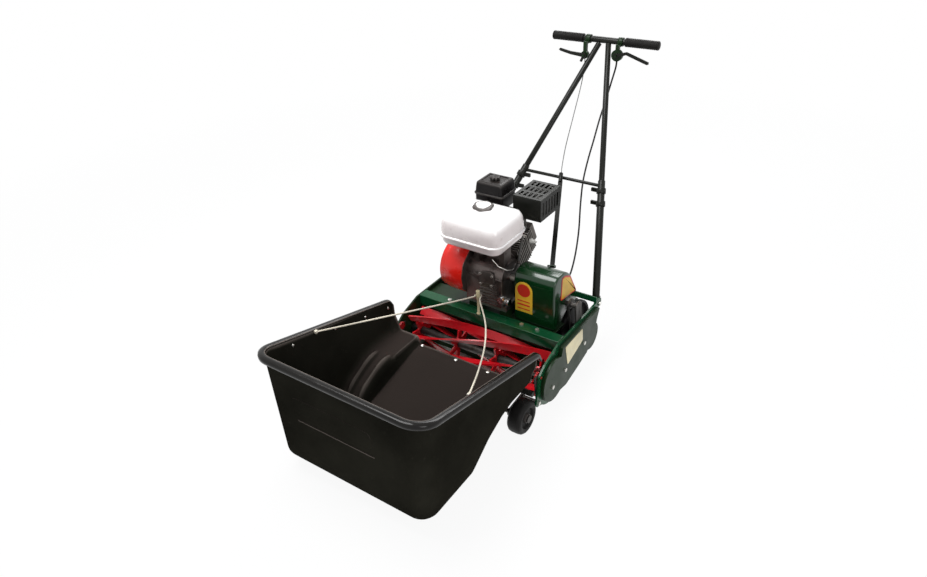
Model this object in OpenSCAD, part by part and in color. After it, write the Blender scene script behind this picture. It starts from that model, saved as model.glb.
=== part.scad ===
// Self-propelled cylinder (reel) mower with a petrol engine, a hung grass catcher and a T-handle.
// X runs across the machine, -Y is the front (catcher), +Y the operator's end and +Z is up.
// The origin lies on the ground, midway along the machine's length. Sizes are in millimetres.

/* [Overall] */
// Length from the catcher's front lip to the back of the hand grips
overall_l = 1480; // [1440:1:1540]
// Height of the T-bar's middle above the ground
bar_h = 870; // [840:1:920]

/* [Chassis] */
// Clear width between the two side plates
gap_w = 516; // [500:1:530]
// Thickness of each side plate
plate_t = 6; // [4:0.5:8]
// Height of the side plates' level top edge
plate_top = 197; // [194:1:204]
// How far behind the middle the side plates end
plate_rear = 224; // [220:1:235]
// Flange width of the front and rear angle bars
angle_w = 38; // [30:1:44]
// Thickness of the angle bars' flanges
angle_t = 5; // [3:0.5:7]
// Place of the front angle bar's front face
front_bar_y = -62; // [-66:1:-58]
// Height of the top of the engine deck
deck_top = 182; // [180:0.5:184]
// Thickness of the engine deck
deck_t = 6; // [4:0.5:7]
// Height of the middle of the front tie bar
tie_z = 105; // [100:1:110]
// How far in front of the middle the tie bar lies
tie_y = -210; // [-214:1:-206]
// Diameter of the front tie bar
tie_d = 18; // [14:1:20]

/* [Cutting cylinder] */
// Radius that the blade edges sweep
reel_r = 75; // [70:0.5:76]
// Height of cut, from the ground to the sweep's lowest line
cut_h = 22; // [16:0.5:26]
// How far in front of the middle the cylinder's axis lies
reel_y = -108; // [-111:1:-105]
// Number of blades
blade_count = 6; // [4:1:7]
// Angle that each blade turns through along its length
blade_twist = 112; // [60:1:130]
// Width of a blade strip, measured towards the axis
blade_w = 27; // [20:0.5:29]
// Thickness of a blade strip
blade_t = 5; // [3:0.5:7]
// Diameter of the cylinder's shaft
reel_shaft_d = 25; // [20:0.5:30]
// Number of spiders that carry the blades
spider_count = 4; // [3:1:5]
// Thickness of a spider
spider_t = 6; // [4:0.5:9]
// Gap between the blades' ends and the side plates
reel_end_gap = 12; // [10:0.5:16]

/* [Roller] */
// Radius of the drive roller
roller_r = 104; // [100:0.5:105]
// How far behind the middle the roller's axis lies
roller_y = 135; // [132:1:140]
// Gap between the roller's right end and the right side plate
roller_gap_r = 41; // [40:1:60]
// Gap between the roller's left end and the left side plate
roller_gap_l = 20; // [14:1:30]
// Gap between the two roller halves
roller_split = 4; // [2:0.5:8]
// Diameter of the roller's shaft
roller_shaft_d = 25; // [20:0.5:28]
// Height of the rubber ribs
rib_h = 3; // [2:0.5:5]
// Number of rubber ribs on each roller half
rib_count = 9; // [6:1:11]

/* [Front wheels] */
// Radius of a front wheel
wheel_r = 52; // [48:0.5:53]
// Width of a front wheel
wheel_w = 46; // [38:1:48]
// Distance between the middles of the two front wheels
wheel_track = 492; // [488:1:500]
// How far in front of the middle the wheels' axle lies
wheel_y = -256; // [-262:1:-254]
// Diameter of the wheel axle
axle_d = 14; // [12:0.5:16]

/* [Engine] */
// Height of the rails that carry the engine on the deck
rail_h = 30; // [26:0.5:34]
// Height of the crankshaft above the rails
crank_up = 101; // [99:0.5:104]
// How far behind the middle the crankshaft lies
crank_y = 25; // [22:1:28]
// Width of the fuel tank across the machine
tank_w = 222; // [208:1:224]
// Length of the fuel tank from front to back
tank_l = 186; // [170:1:188]
// Height of the tank's seam above the crankshaft
tank_up = 150; // [148:1:154]
// Radius of the recoil starter's cover
recoil_r = 80; // [74:1:83]
// Angle of the cylinder barrel above the horizontal
barrel_tilt = 25; // [23:1:27]

/* [Handle] */
// Length of the T-bar
bar_l = 388; // [360:1:430]
// Diameter of the T-bar's tube
bar_d = 21; // [18:0.5:24]
// Diameter of a hand grip
grip_d = 30; // [26:0.5:32]
// Length of a hand grip
grip_l = 118; // [100:1:130]
// Diameter of the upper legs
upper_leg_d = 19; // [17:0.5:21]
// Diameter of the lower legs
lower_leg_d = 24; // [22:0.5:26]
// Share of the leg's length at which the lower leg ends and the upper leg begins
joint_at = 0.45; // [0.42:0.01:0.5]

/* [Catcher] */
// Width of the catcher at its rim, without the lip
catcher_w = 534; // [524:1:538]
// Width of the catcher at its floor
catcher_floor_w = 506; // [496:1:512]
// Thickness of the catcher's moulded wall
wall_t = 4; // [3:0.5:5]
// How far the rolled lip stands out
lip_w = 15; // [8:0.5:16]
// Height of the rolled lip
lip_h = 15; // [10:0.5:18]
// Height of the catcher's floor above the ground
catcher_floor = 44; // [36:1:46]
// Height of the rim at the front wall
rim_front_z = 395; // [380:1:410]
// Height of the rim at the rear end
rim_rear_z = 254; // [250:1:262]

/* [Hidden] */
// Running clearance between a shaft and its bearing, on the radius
run_gap = 0.05;
// Gap between pieces that stay apart but carry each other
seat_gap = 0.3;
// Joins of solids inside one piece go this far into each other
lap = 0.5;
// A link's straight sides lie this far inside its round ends
edge_step = 0.1;
$fn = 48;

// Chassis
half_gap = gap_w / 2;
plate_out = half_gap + plate_t;
pivot_yz = [-188, 58];
pivot_r = 5;
knob_yz = [-174, 144];
stud_r = 4;
slot_half = 4.5;
leg_bolt_yz = [208, 183];
cover_face = plate_out + 13;
cover_wall = 1.5;
cover_bolts = [[-48, 93], [-128, 82], [79, 113]];
plate_bolts = [[-48, 93], [-60, 160], [79, 113]];
bar_bolts = [-150, 120, 175];

// Axes of the turning parts
reel_z = reel_r + cut_h;
reel_half = half_gap - reel_end_gap;
reel_start = 176;
roller_z = roller_r;
roller_right = half_gap - roller_gap_r;
roller_left = -half_gap + roller_gap_l;
roller_mid = (roller_left + roller_right) / 2;
wheel_z = wheel_r;
wheel_x = wheel_track / 2;
arm_x = 205;
counter_yz = [72, 246];
chain_x = 226;

// Engine
base_z = deck_top + rail_h;
crank_z = base_z + crank_up;
case_left = -85;
case_right = 45;
case_r = 58;
barrel_foot = 62;
head_foot = 130;
barrel_x = -10;
blower_left = -150;
blower_r = 86;
tank_x = -41;
tank_y = 4;
seam_z = crank_z + tank_up;
tank_low = seam_z - 29;
tank_top = seam_z + 57;
cap_xy = [-58, 36];
cap_r = 30;
choke_yz = [137, 452];
cleaner_low = 480;
cleaner_top = 563;
cleaner_xy = [-90, 157];
arm_pivot = [60, crank_z + 37];
guard_low = 469;
guard_top = 542;

// Belt cover
belt_left = 72;
belt_right = 212;
belt_wall = 2;

// Handle
front_y = -overall_l / 2;
bar_y = overall_l / 2 - grip_d / 2;
leg_bottom = [half_gap - 12.5, 222, 192];
leg_top = [17, bar_y - 6, bar_h - 10];
brace_at = 0.43;
function leg_at(t) = leg_bottom + t * (leg_top - leg_bottom);
control_gap = 16;
throttle_xyz = [bar_l / 2 - grip_l - control_gap, bar_y - 27, bar_h - 38];
clutch_xyz = [control_gap + 2 - bar_l / 2 + grip_l, bar_y - 27, bar_h - 48];
rod_low = [120, 152, 300];
rod_top = [5, leg_at(brace_at)[1] - 15.7, leg_at(brace_at)[2] + 10.8];
guide_foot = [106, 153, 305];

// Catcher
catcher_rear = -194;
rim_slope = (rim_front_z - rim_rear_z) / (catcher_rear + 730);
arch_x = 165;
wheel_roof = 142;
notch_top = 172;
notch_x = 245;
notch_y = -216;
corner_r = 50;
foot_r = 54;
lip_low = tie_z + tie_d / 2 + seat_gap;
cleat_xy = [-27, -56];

// Routes of the cords
clutch_cable = [
    [4, 423, 492], [0, 433, 499], [-8, 454, 518], [-20, 500, 568], [-30, 570, 650], [-42, 650, 745],
    [-55, 692, 797], [-58, 698, 808.4]
];
throttle_cable = [
    [60, 698, 812], [58, 697, 790], [48, 694, 745], [38, 680, 685], [32, 650, 625], [36, 600, 563],
    [41, 550, 508], [50, 500, 450], [68, 450, 388], [92, 395, 318], [114, 330, 262], [138, 250, 238],
    [149, 190, 236], [150, 158, 238]
];
rope_route = [
    [-256, -524, 334], [-180, -363, 308], [-90, -183, 282], [-40, -72, 265], [-38, -56, 264],
    [-33, -47, 264], [-27, -44.5, 264], [-21, -47, 264], [-17, -56, 264], [-8, -74, 261],
    [60, -150, 250], [122, -250, 252], [192, -390, 284], [256, -524, 334]
];

// ---- Shared shapes ----

// A round bar from point a to point b
module bar(a, b, d) {
    v = b - a;
    translate(a)
        rotate([0, acos(v[2] / norm(v)), atan2(v[1], v[0])])
            cylinder(h = norm(v), d = d);
}

// A round bar lying across the machine, centred on [y, z]
module x_bar(x0, x1, yz, r) {
    translate([x0, yz[0], yz[1]])
        rotate([0, 90, 0])
            cylinder(h = x1 - x0, r = r);
}

// A [y, z] outline drawn out across the machine
module along_x(x0, x1) {
    translate([x0, 0, 0])
        rotate([90, 0, 90])
            linear_extrude(x1 - x0)
                children();
}

// A box given by its two opposite corners
module block(a, b) {
    translate(a)
        cube(b - a);
}

// A flat link outline with round ends
module link_outline(a, b, r) {
    v = b - a;
    translate(a)
        circle(r);
    translate(b)
        circle(r);
    translate(a)
        rotate(atan2(v[1], v[0]))
            translate([0, -r + edge_step])
                square([norm(v), 2 * (r - edge_step)]);
}

// Both sides of the machine
module both_sides() {
    children();
    mirror([1, 0, 0])
        children();
}

// A loop round two wheels: the outline of a belt or a chain
module loop_outline(a, ra, b, rb, t) {
    difference() {
        hull() {
            translate(a)
                circle(ra + t);
            translate(b)
                circle(rb + t);
        }
        hull() {
            translate(a)
                circle(ra);
            translate(b)
                circle(rb);
        }
    }
}

function unit(v) = v / norm(v);
function blend(a, b, c, d, t) =
    0.5 * (2 * b + (c - a) * t + (2 * a - 5 * b + 4 * c - d) * t * t + (3 * b - a - 3 * c + d) * t * t * t);

// Points of a smooth curve through a route's points, n to each stretch
function smooth(p, n) = concat(
    [for (i = [0 : len(p) - 2]) for (k = [0 : n - 1])
        blend(p[max(i - 1, 0)], p[i], p[i + 1], p[min(i + 2, len(p) - 1)], k / n)],
    [p[len(p) - 1]]
);

// A round cord of diameter d through the points p; across is a direction it never runs along
module cord(p, d, across, sides = 8) {
    last = len(p) - 1;
    ways = [for (i = [0 : last]) unit(p[min(i + 1, last)] - p[max(i - 1, 0)])];
    rings = [for (i = [0 : last])
        let (u = unit(cross(ways[i], across)), w = cross(ways[i], u))
            for (k = [0 : sides - 1])
                p[i] + d / 2 * (cos(360 * k / sides) * u + sin(360 * k / sides) * w)];
    skin = [for (i = [0 : last - 1]) for (k = [0 : sides - 1])
        let (m = (k + 1) % sides)
            [i * sides + k, (i + 1) * sides + k, (i + 1) * sides + m, i * sides + m]];
    ends = [
        [for (k = [0 : sides - 1]) k],
        [for (k = [sides - 1 : -1 : 0]) last * sides + k]
    ];
    polyhedron(points = rings, faces = concat(skin, ends));
}

// ---- Chassis ----

module plate_outline() {
    polygon([
        [-72, plate_top], [plate_rear - 2, plate_top], [plate_rear, 184], [196, 164], [159, 100],
        [133, 62], [58, 35], [-33, 14], [-108, 13], [-186, 45], [-200, 58], [-184, 150], [-150, 173]
    ]);
    translate([reel_y, reel_z])
        circle(84);
    translate(pivot_yz)
        circle(13);
    translate(knob_yz)
        circle(11);
    translate([roller_y, roller_z])
        circle(46);
}

module side_plate_solid() {
    difference() {
        along_x(half_gap, plate_out)
            plate_outline();
        x_bar(half_gap - lap, plate_out + lap, [reel_y, reel_z], reel_shaft_d / 2 + 2);
        x_bar(half_gap - lap, plate_out + lap, [roller_y, roller_z], roller_shaft_d / 2 + 2);
        x_bar(half_gap - lap, plate_out + lap, knob_yz, stud_r + run_gap);
        x_bar(half_gap - lap, plate_out + lap, leg_bolt_yz, stud_r + run_gap);
    }
    x_bar(arm_x - 4, half_gap + lap, pivot_yz, pivot_r);
}

module side_plate_left() {
    color("darkgreen")
        mirror([1, 0, 0])
            side_plate_solid();
}

module side_plate_right() {
    color("darkgreen")
        side_plate_solid();
}

module front_cross_member() {
    color("seagreen")
        difference() {
            union() {
                block([-half_gap, front_bar_y, 198 - angle_t], [half_gap, front_bar_y + angle_w, 198]);
                block([-half_gap, front_bar_y, 162], [half_gap, front_bar_y + angle_t, 198]);
            }
            for (x = bar_bolts)
                translate([x, front_bar_y + 22, 180])
                    cylinder(h = 30, r = stud_r + run_gap);
        }
}

module rear_cross_member() {
    color("darkgreen") {
        block([-plate_out, 186, plate_top], [plate_out, 212, plate_top + angle_t]);
        block([-plate_out, 186, plate_top + angle_t - lap], [plate_out, 186 + angle_t, plate_top + 21]);
    }
}

module engine_deck() {
    color("darkgreen") {
        block([-half_gap, front_bar_y + angle_t, deck_top - deck_t], [belt_right + 6, 56, deck_top]);
        block([-half_gap, 0, deck_top - deck_t - 16], [belt_right + 6, 5, deck_top - deck_t + lap]);
        for (x = [case_left, case_right - 14])
            block([x, -23, deck_top - lap], [x + 24, 55, base_z]);
    }
}

module front_tie_bar() {
    color("dimgray")
        x_bar(-half_gap, half_gap, [tie_y, tie_z], tie_d / 2);
}

module sole_plate() {
    color("darkgreen") {
        along_x(-half_gap, half_gap)
            polygon([[-98, 14], [-45, 14], [-45, 34], [-58, 34], [-62, 18], [-98, 18]]);
        along_x(-half_gap, half_gap)
            shield_outline();
    }
}

// The thin sheet behind the cylinder that leads the cut grass up and forward
module shield_outline() {
    inner = reel_r + 4;
    outer = inner + 2;
    low = -44;
    high = 52;
    way = [for (a = [low : 8 : high]) a];
    polygon(concat(
        [[-47, 33.5]],
        [for (a = way) [reel_y + outer * cos(a), reel_z + outer * sin(a)]],
        [for (i = [len(way) - 1 : -1 : 0])
            [reel_y + inner * cos(way[i]), reel_z + inner * sin(way[i])]],
        [[-54, 33.5]]
    ));
}

module bottom_blade() {
    color("silver")
        along_x(-half_gap, half_gap)
            polygon([[-103, 18], [-63, 18], [-63, 21.5], [-99, 21.5]]);
}

module bearing_ring(x0, x1, yz, r, shaft_r) {
    difference() {
        x_bar(x0, x1, yz, r);
        x_bar(x0 - lap, x1 + lap, yz, shaft_r + run_gap);
    }
}

module counter_bracket(x0, x1, foot) {
    difference() {
        along_x(x0, x1) {
            polygon(foot);
            translate(counter_yz)
                circle(19);
        }
        x_bar(x0 - lap, x1 + lap, counter_yz, 8 + run_gap);
    }
}

module bearing_housings() {
    color("dimgray") {
        for (side = [-1, 1]) {
            bearing_ring(side < 0 ? -plate_out - 12 : half_gap - 8, side < 0 ? -plate_out : half_gap,
                [reel_y, reel_z], 30, reel_shaft_d / 2);
            bearing_ring(side < 0 ? -plate_out - 12 : half_gap - 12, side < 0 ? -plate_out : half_gap,
                [roller_y, roller_z], 34, roller_shaft_d / 2);
        }
        counter_bracket(99, 105, [[14, deck_top], [44, deck_top], [56, 206], [88, 240], [56, 256]]);
        counter_bracket(half_gap - 6, half_gap, [[60, 150], [100, 150], [90, 246], [54, 246]]);
    }
}

module hex_bolt(x0, dir, yz, shank) {
    translate([x0, yz[0], yz[1]])
        rotate([0, 90 * dir, 0]) {
            cylinder(h = 4.5, r = 7, $fn = 6);
            if (shank > 0)
                translate([0, 0, -shank])
                    cylinder(h = shank + lap, r = stud_r);
        }
}

module chassis_bolts() {
    color("silver") {
        for (yz = cover_bolts)
            hex_bolt(cover_face, 1, yz, 0);
        for (yz = plate_bolts)
            hex_bolt(-plate_out, -1, yz, 0);
        hex_bolt(plate_out, 1, leg_bolt_yz, plate_t + 6);
        hex_bolt(-plate_out, -1, leg_bolt_yz, plate_t + 6);
        for (side = [-1, 1])
            hex_bolt(side * plate_out, side, pivot_yz, 0);
        for (x = bar_bolts)
            translate([x, front_bar_y + 22, 198]) {
                cylinder(h = 4.5, r = 7, $fn = 6);
                translate([0, 0, -angle_t])
                    cylinder(h = angle_t + lap, r = stud_r);
            }
    }
}

// ---- Covers ----

// Side view of the chain cover, its outline drawn in by inset
module pan_outline(inset = 0) {
    polygon([
        [-64 + inset, 184 - inset], [186 - inset, 184 - inset], [170 - inset, 152], [150 - inset, 90 + inset],
        [104, 58 + inset], [48, 44 + inset], [-36, 27 + inset], [-80, 34 + inset], [-108, 60]
    ]);
    translate([reel_y, reel_z])
        circle(71 - inset);
    translate([roller_y, roller_z])
        circle(46 - inset);
}

module chain_cover() {
    color("darkgreen") {
        difference() {
            along_x(plate_out, cover_face)
                pan_outline();
            along_x(plate_out - lap, cover_face - cover_wall)
                pan_outline(cover_wall);
        }
    }
}

module belt_outline(inset = 0) {
    polygon([
        [-5 + inset, deck_top + inset], [-5 + inset, 330], [2 + inset, 350], [18, 362 - inset],
        [55, 362 - inset], [78, 354 - inset], [100 - inset, 336], [148 - inset, 252],
        [148 - inset, 216 + inset], [90, 214 + inset], [60, 200 + inset], [50 - inset, deck_top + inset]
    ]);
}

module belt_cover() {
    color("green") {
        difference() {
            along_x(belt_left, belt_right)
                belt_outline();
            along_x(belt_left + belt_wall, belt_right - belt_wall)
                belt_outline(belt_wall);
            x_bar(belt_left - lap, belt_left + belt_wall + lap, [crank_y, crank_z], 16);
            x_bar(belt_right - belt_wall - lap, belt_right + lap, counter_yz, 13);
            block([98, 12, deck_top - lap], [106, 50 - belt_wall, deck_top + belt_wall + lap]);
        }
        translate([150, 148 - lap, 238])
            rotate([-90, 0, 0])
                cylinder(h = 10 - lap, r = 7);
        rod_frame()
            rod_guide();
        bar(guide_foot, guide_foot - [0, 28, 16], 8);
    }
}

module cover_plates() {
    color("gold") {
        translate([belt_left + 36, -5, 222])
            rotate([90, 0, 0])
                linear_extrude(1.2) {
                    translate([-30, 0])
                        square([60, 78]);
                    translate([0, 78])
                        circle(30);
                }
        along_x(belt_right, belt_right + 1.2)
            polygon([[42, 352], [62, 352], [97, 334], [144, 256], [33, 274]]);
    }
    color("ivory")
        along_x(cover_face, cover_face + 1.2)
            polygon([[-50, 178], [63, 178], [68, 132], [-32, 102]]);
}

module rope_cleat() {
    color("ivory") {
        translate([cleat_xy[0], cleat_xy[1], 198])
            cylinder(h = 56 + lap, r = 4);
        translate([cleat_xy[0], cleat_xy[1], 254])
            cylinder(h = 30, r = 6);
        translate([cleat_xy[0], cleat_xy[1], 198])
            cylinder(h = 4, r = 6);
    }
}

// ---- Cutting cylinder ----

module reel_shaft() {
    color("dimgray") {
        x_bar(-plate_out - 11, cover_face - cover_wall - 1, [reel_y, reel_z], reel_shaft_d / 2);
        x_bar(plate_out + 2, plate_out + 8, [reel_y, reel_z], 17);
    }
}

module reel_spiders() {
    inner = reel_r - blade_w;
    color("firebrick")
        for (i = [0 : spider_count - 1]) {
            x = -reel_half + 20 + i * (2 * reel_half - 40 - spider_t) / (spider_count - 1);
            turn = reel_start - blade_twist * (x + spider_t / 2 + reel_half) / (2 * reel_half);
            translate([x, reel_y, reel_z])
                rotate([90, 0, 90])
                    linear_extrude(spider_t)
                        difference() {
                            union() {
                                circle(24);
                                for (k = [0 : blade_count - 1])
                                    rotate(turn + 360 * k / blade_count)
                                        translate([0, -9])
                                            square([inner - seat_gap, 18]);
                            }
                            circle(reel_shaft_d / 2 + run_gap);
                        }
        }
}

module reel_blades() {
    color("red")
        translate([-reel_half, reel_y, reel_z])
            rotate([90, 0, 90])
                for (k = [0 : blade_count - 1])
                    rotate(reel_start + 360 * k / blade_count)
                        linear_extrude(2 * reel_half, twist = blade_twist, slices = 36, $fn = 8)
                            translate([reel_r - blade_w, -blade_t / 2])
                                square([blade_w - 0.1, blade_t]);
}

// ---- Roller ----

module roller_shaft() {
    color("dimgray") {
        x_bar(-plate_out - 11, cover_face - cover_wall - 1, [roller_y, roller_z], roller_shaft_d / 2);
        x_bar(plate_out + 2, plate_out + 8, [roller_y, roller_z], 32);
        x_bar(chain_x, chain_x + 6, [roller_y, roller_z], 40);
        x_bar(chain_x - 8, chain_x + lap, [roller_y, roller_z], 22);
    }
}

module roller_half(x0, x1) {
    drum_r = roller_r - rib_h;
    pitch = (x1 - x0 - 10) / (rib_count - 1);
    translate([x0, roller_y, roller_z])
        rotate([0, 90, 0])
            difference() {
                union() {
                    cylinder(h = x1 - x0, r = drum_r, $fn = 96);
                    for (i = [0 : rib_count - 1])
                        translate([0, 0, i * pitch])
                            cylinder(h = 10, r = roller_r, $fn = 96);
                }
                for (z = [-lap, x1 - x0 - 12])
                    translate([0, 0, z])
                        difference() {
                            cylinder(h = 12 + lap, r = drum_r - 5);
                            translate([0, 0, -lap])
                                cylinder(h = 14 + 2 * lap, r = 22);
                        }
                translate([0, 0, 18])
                    difference() {
                        cylinder(h = x1 - x0 - 36, r = drum_r - 5);
                        translate([0, 0, -lap])
                            cylinder(h = x1 - x0 - 34, r = 22);
                    }
                translate([0, 0, -lap])
                    cylinder(h = x1 - x0 + 2 * lap, r = roller_shaft_d / 2 + run_gap);
            }
}

module roller_left_half() {
    color("black")
        roller_half(roller_left, roller_mid - roller_split / 2);
}

module roller_right_half() {
    color("black")
        roller_half(roller_mid + roller_split / 2, roller_right);
}

// ---- Drive ----

module countershaft() {
    color("gray") {
        x_bar(97.5, half_gap - 0.5, counter_yz, 8);
        x_bar(chain_x, chain_x + 6, counter_yz, 14);
        difference() {
            union() {
                x_bar(128, 150, counter_yz, 26);
                x_bar(128, 132, counter_yz, 30);
                x_bar(146, 150, counter_yz, 30);
            }
            x_bar(120, 160, counter_yz, 8 - lap);
        }
    }
}

module drive_belt() {
    color("black")
        along_x(134, 144)
            loop_outline([crank_y, crank_z], 18 + seat_gap, counter_yz, 26 + seat_gap, 6);
}

module reel_chain() {
    color("gray")
        along_x(plate_out + 2, plate_out + 8)
            loop_outline([reel_y, reel_z], 17 + seat_gap, [roller_y, roller_z], 32 + seat_gap, 5);
}

module roller_chain() {
    color("gray")
        along_x(chain_x, chain_x + 6)
            loop_outline(counter_yz, 14 + seat_gap, [roller_y, roller_z], 40 + seat_gap, 5);
}

// ---- Front wheels and their height adjustment ----

// A ring sector round the pivot, from radius r0 to r1 and of half-angle a about the knob's direction
module sector_outline(r0, r1, a) {
    way = atan2(knob_yz[1] - pivot_yz[1], knob_yz[0] - pivot_yz[0]);
    far = 2 * r1;
    translate(pivot_yz)
        intersection() {
            difference() {
                circle(r1);
                circle(r0);
            }
            polygon([[0, 0], far * [cos(way - a), sin(way - a)], far * [cos(way + a), sin(way + a)]]);
        }
}

module quadrant_outline() {
    reach = norm(knob_yz - pivot_yz);
    way = atan2(knob_yz[1] - pivot_yz[1], knob_yz[0] - pivot_yz[0]);
    difference() {
        union() {
            translate(pivot_yz)
                circle(12);
            sector_outline(8, reach + 9, 17);
        }
        sector_outline(reach - slot_half, reach + slot_half, 9);
        for (a = [-9, 9])
            translate(pivot_yz + reach * [cos(way + a), sin(way + a)])
                circle(slot_half);
    }
}

module front_axle() {
    axle_yz = [wheel_y, wheel_z];
    color("dimgray") {
        x_bar(-wheel_x - wheel_w / 2 - 3, wheel_x + wheel_w / 2 + 3, axle_yz, axle_d / 2);
        both_sides() {
            difference() {
                union() {
                    along_x(arm_x, arm_x + 6)
                        link_outline(pivot_yz, axle_yz, 13);
                    x_bar(arm_x, half_gap - 1, pivot_yz, pivot_r + 2.7);
                    along_x(half_gap - 4, half_gap - 1)
                        quadrant_outline();
                }
                x_bar(arm_x - lap, half_gap, pivot_yz, pivot_r + run_gap);
            }
            x_bar(wheel_x - wheel_w / 2 - 6, wheel_x - wheel_w / 2 - 1, axle_yz, 12);
            x_bar(wheel_x + wheel_w / 2 + 1, wheel_x + wheel_w / 2 + 4, axle_yz, 12);
        }
    }
}

module front_wheel() {
    axle_yz = [wheel_y, wheel_z];
    color("black")
        difference() {
            union() {
                x_bar(wheel_x - wheel_w / 2 + 6, wheel_x + wheel_w / 2 - 6, axle_yz, wheel_r);
                x_bar(wheel_x - wheel_w / 2, wheel_x + wheel_w / 2, axle_yz, wheel_r - 5);
            }
            for (x = [wheel_x - wheel_w / 2 - lap, wheel_x + wheel_w / 2 - 8])
                difference() {
                    x_bar(x, x + 8 + lap, axle_yz, wheel_r - 18);
                    x_bar(x - lap, x + 9 + lap, axle_yz, 15);
                }
            x_bar(wheel_x - wheel_w / 2 - lap, wheel_x + wheel_w / 2 + lap, axle_yz,
                axle_d / 2 + run_gap);
        }
}

module front_wheel_left() {
    mirror([1, 0, 0])
        front_wheel();
}

module front_wheel_right() {
    front_wheel();
}

module adjuster_knob() {
    color("red")
        difference() {
            x_bar(half_gap - 11, half_gap - 4.4, knob_yz, 13);
            for (k = [0 : 5])
                translate([0, knob_yz[0] + 14.5 * cos(60 * k), knob_yz[1] + 14.5 * sin(60 * k)])
                    rotate([0, 90, 0])
                        cylinder(h = half_gap, r = 3.5, $fn = 24);
        }
    color("silver")
        x_bar(half_gap - 5, plate_out + 1, knob_yz, stud_r);
}

module adjuster_knob_left() {
    mirror([1, 0, 0])
        adjuster_knob();
}

module adjuster_knob_right() {
    adjuster_knob();
}

// ---- Engine ----

// Places a shape in the barrel's frame: its Y runs from the crankshaft along the barrel
module on_barrel() {
    translate([barrel_x, crank_y, crank_z])
        rotate([barrel_tilt, 0, 0])
            children();
}

module engine_block() {
    crank_yz = [crank_y, crank_z];
    color("dimgray")
        difference() {
            union() {
                block([case_left, -23, base_z], [case_right + 10, 55, base_z + 18]);
                along_x(case_left, case_right) {
                    translate(crank_yz)
                        circle(case_r);
                    translate([-33, base_z + 17])
                        square([98, 97]);
                }
                on_barrel()
                    rotate([-90, 0, 0])
                        cylinder(h = barrel_foot, r = 44);
                for (x = [-66, 24])
                    block([x, -10, crank_z], [x + 18, 30, tank_low]);
                x_bar(case_right - lap, case_right + 12, arm_pivot, 4);
                for (z = [base_z + 22 : 12 : base_z + 94])
                    block([-34, -38, z], [30, -33 + lap, z + 4]);
            }
            x_bar(case_left - lap, case_right + lap, crank_yz, 10 + run_gap);
        }
}

module cylinder_barrel() {
    color("silver")
        on_barrel()
            rotate([-90, 0, 0])
                difference() {
                    union() {
                        translate([0, 0, barrel_foot])
                            cylinder(h = head_foot - barrel_foot, r = 42);
                        for (i = [0 : 7])
                            translate([-52, -48, barrel_foot + 3 + i * 8.2])
                                cube([104, 96, 4]);
                    }
                    translate([0, 0, barrel_foot - lap])
                        cylinder(h = head_foot - barrel_foot + 2 * lap, r = 32);
                }
}

module cylinder_head() {
    color("gray")
        on_barrel() {
            block([-50, head_foot, -45], [50, head_foot + 6, 45]);
            block([-44, head_foot, -40], [44, head_foot + 36, 40]);
            for (i = [0 : 3])
                block([-50, head_foot + 10 + i * 7, -45], [50, head_foot + 14 + i * 7, 45]);
            block([-40, head_foot + 36 - lap, -36], [40, head_foot + 62, 36]);
        }
}

module blower_housing() {
    crank_yz = [crank_y, crank_z];
    color("red")
        difference() {
            along_x(blower_left, case_left) {
                translate(crank_yz)
                    circle(blower_r);
                polygon([[60, 240], [158, 286], [150, 358], [94, 430], [-8, 388]]);
            }
            x_bar(blower_left - lap, case_left - 4, crank_yz, blower_r - 5);
            x_bar(case_left - 5, case_left + lap, crank_yz, 20);
        }
}

module recoil_cover() {
    crank_yz = [crank_y, crank_z];
    color("red")
        difference() {
            union() {
                x_bar(-170, blower_left, crank_yz, recoil_r);
                x_bar(-153, blower_left, crank_yz, blower_r - 2);
                x_bar(-178, -170 + lap, crank_yz, recoil_r - 22);
            }
            x_bar(-166, blower_left + lap, crank_yz, recoil_r - 4);
            x_bar(-174, -166 + lap, crank_yz, recoil_r - 27);
            for (k = [1 : 11])
                translate([-180, crank_y, crank_z])
                    rotate([30 * k, 0, 0])
                        translate([0, recoil_r - 16, -4])
                            cube([16, 9, 8]);
            translate([-158, crank_y + recoil_r + 4, crank_z + 30])
                rotate([90, 0, 0])
                    cylinder(h = 30, r = 2);
        }
}

module recoil_grip() {
    color("black") {
        translate([-178, crank_y + recoil_r + 8, crank_z + 24])
            cube([26, 10, 12]);
        translate([-158, crank_y + recoil_r + 9, crank_z + 30])
            rotate([90, 0, 0])
                cylinder(h = 80, r = 1.5);
    }
}

module crankshaft() {
    crank_yz = [crank_y, crank_z];
    color("silver") {
        x_bar(-146, 152, crank_yz, 10);
        x_bar(-140, -118, crank_yz, blower_r - 12);
        x_bar(133, 145, crank_yz, 18);
        for (x = [129, 145 - lap])
            x_bar(x, x + 4 + lap, crank_yz, 22);
    }
}

// One layer of the tank: a rounded rectangle grown by g, from z0 to z1
module tank_layer(g, z0, z1) {
    r = 36;
    for (i = [-1, 1])
        for (j = [-1, 1])
            translate([tank_x + i * (tank_w / 2 - r + g), tank_y + j * (tank_l / 2 - r + g), z0])
                cylinder(h = z1 - z0, r = r, $fn = 32);
}

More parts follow.
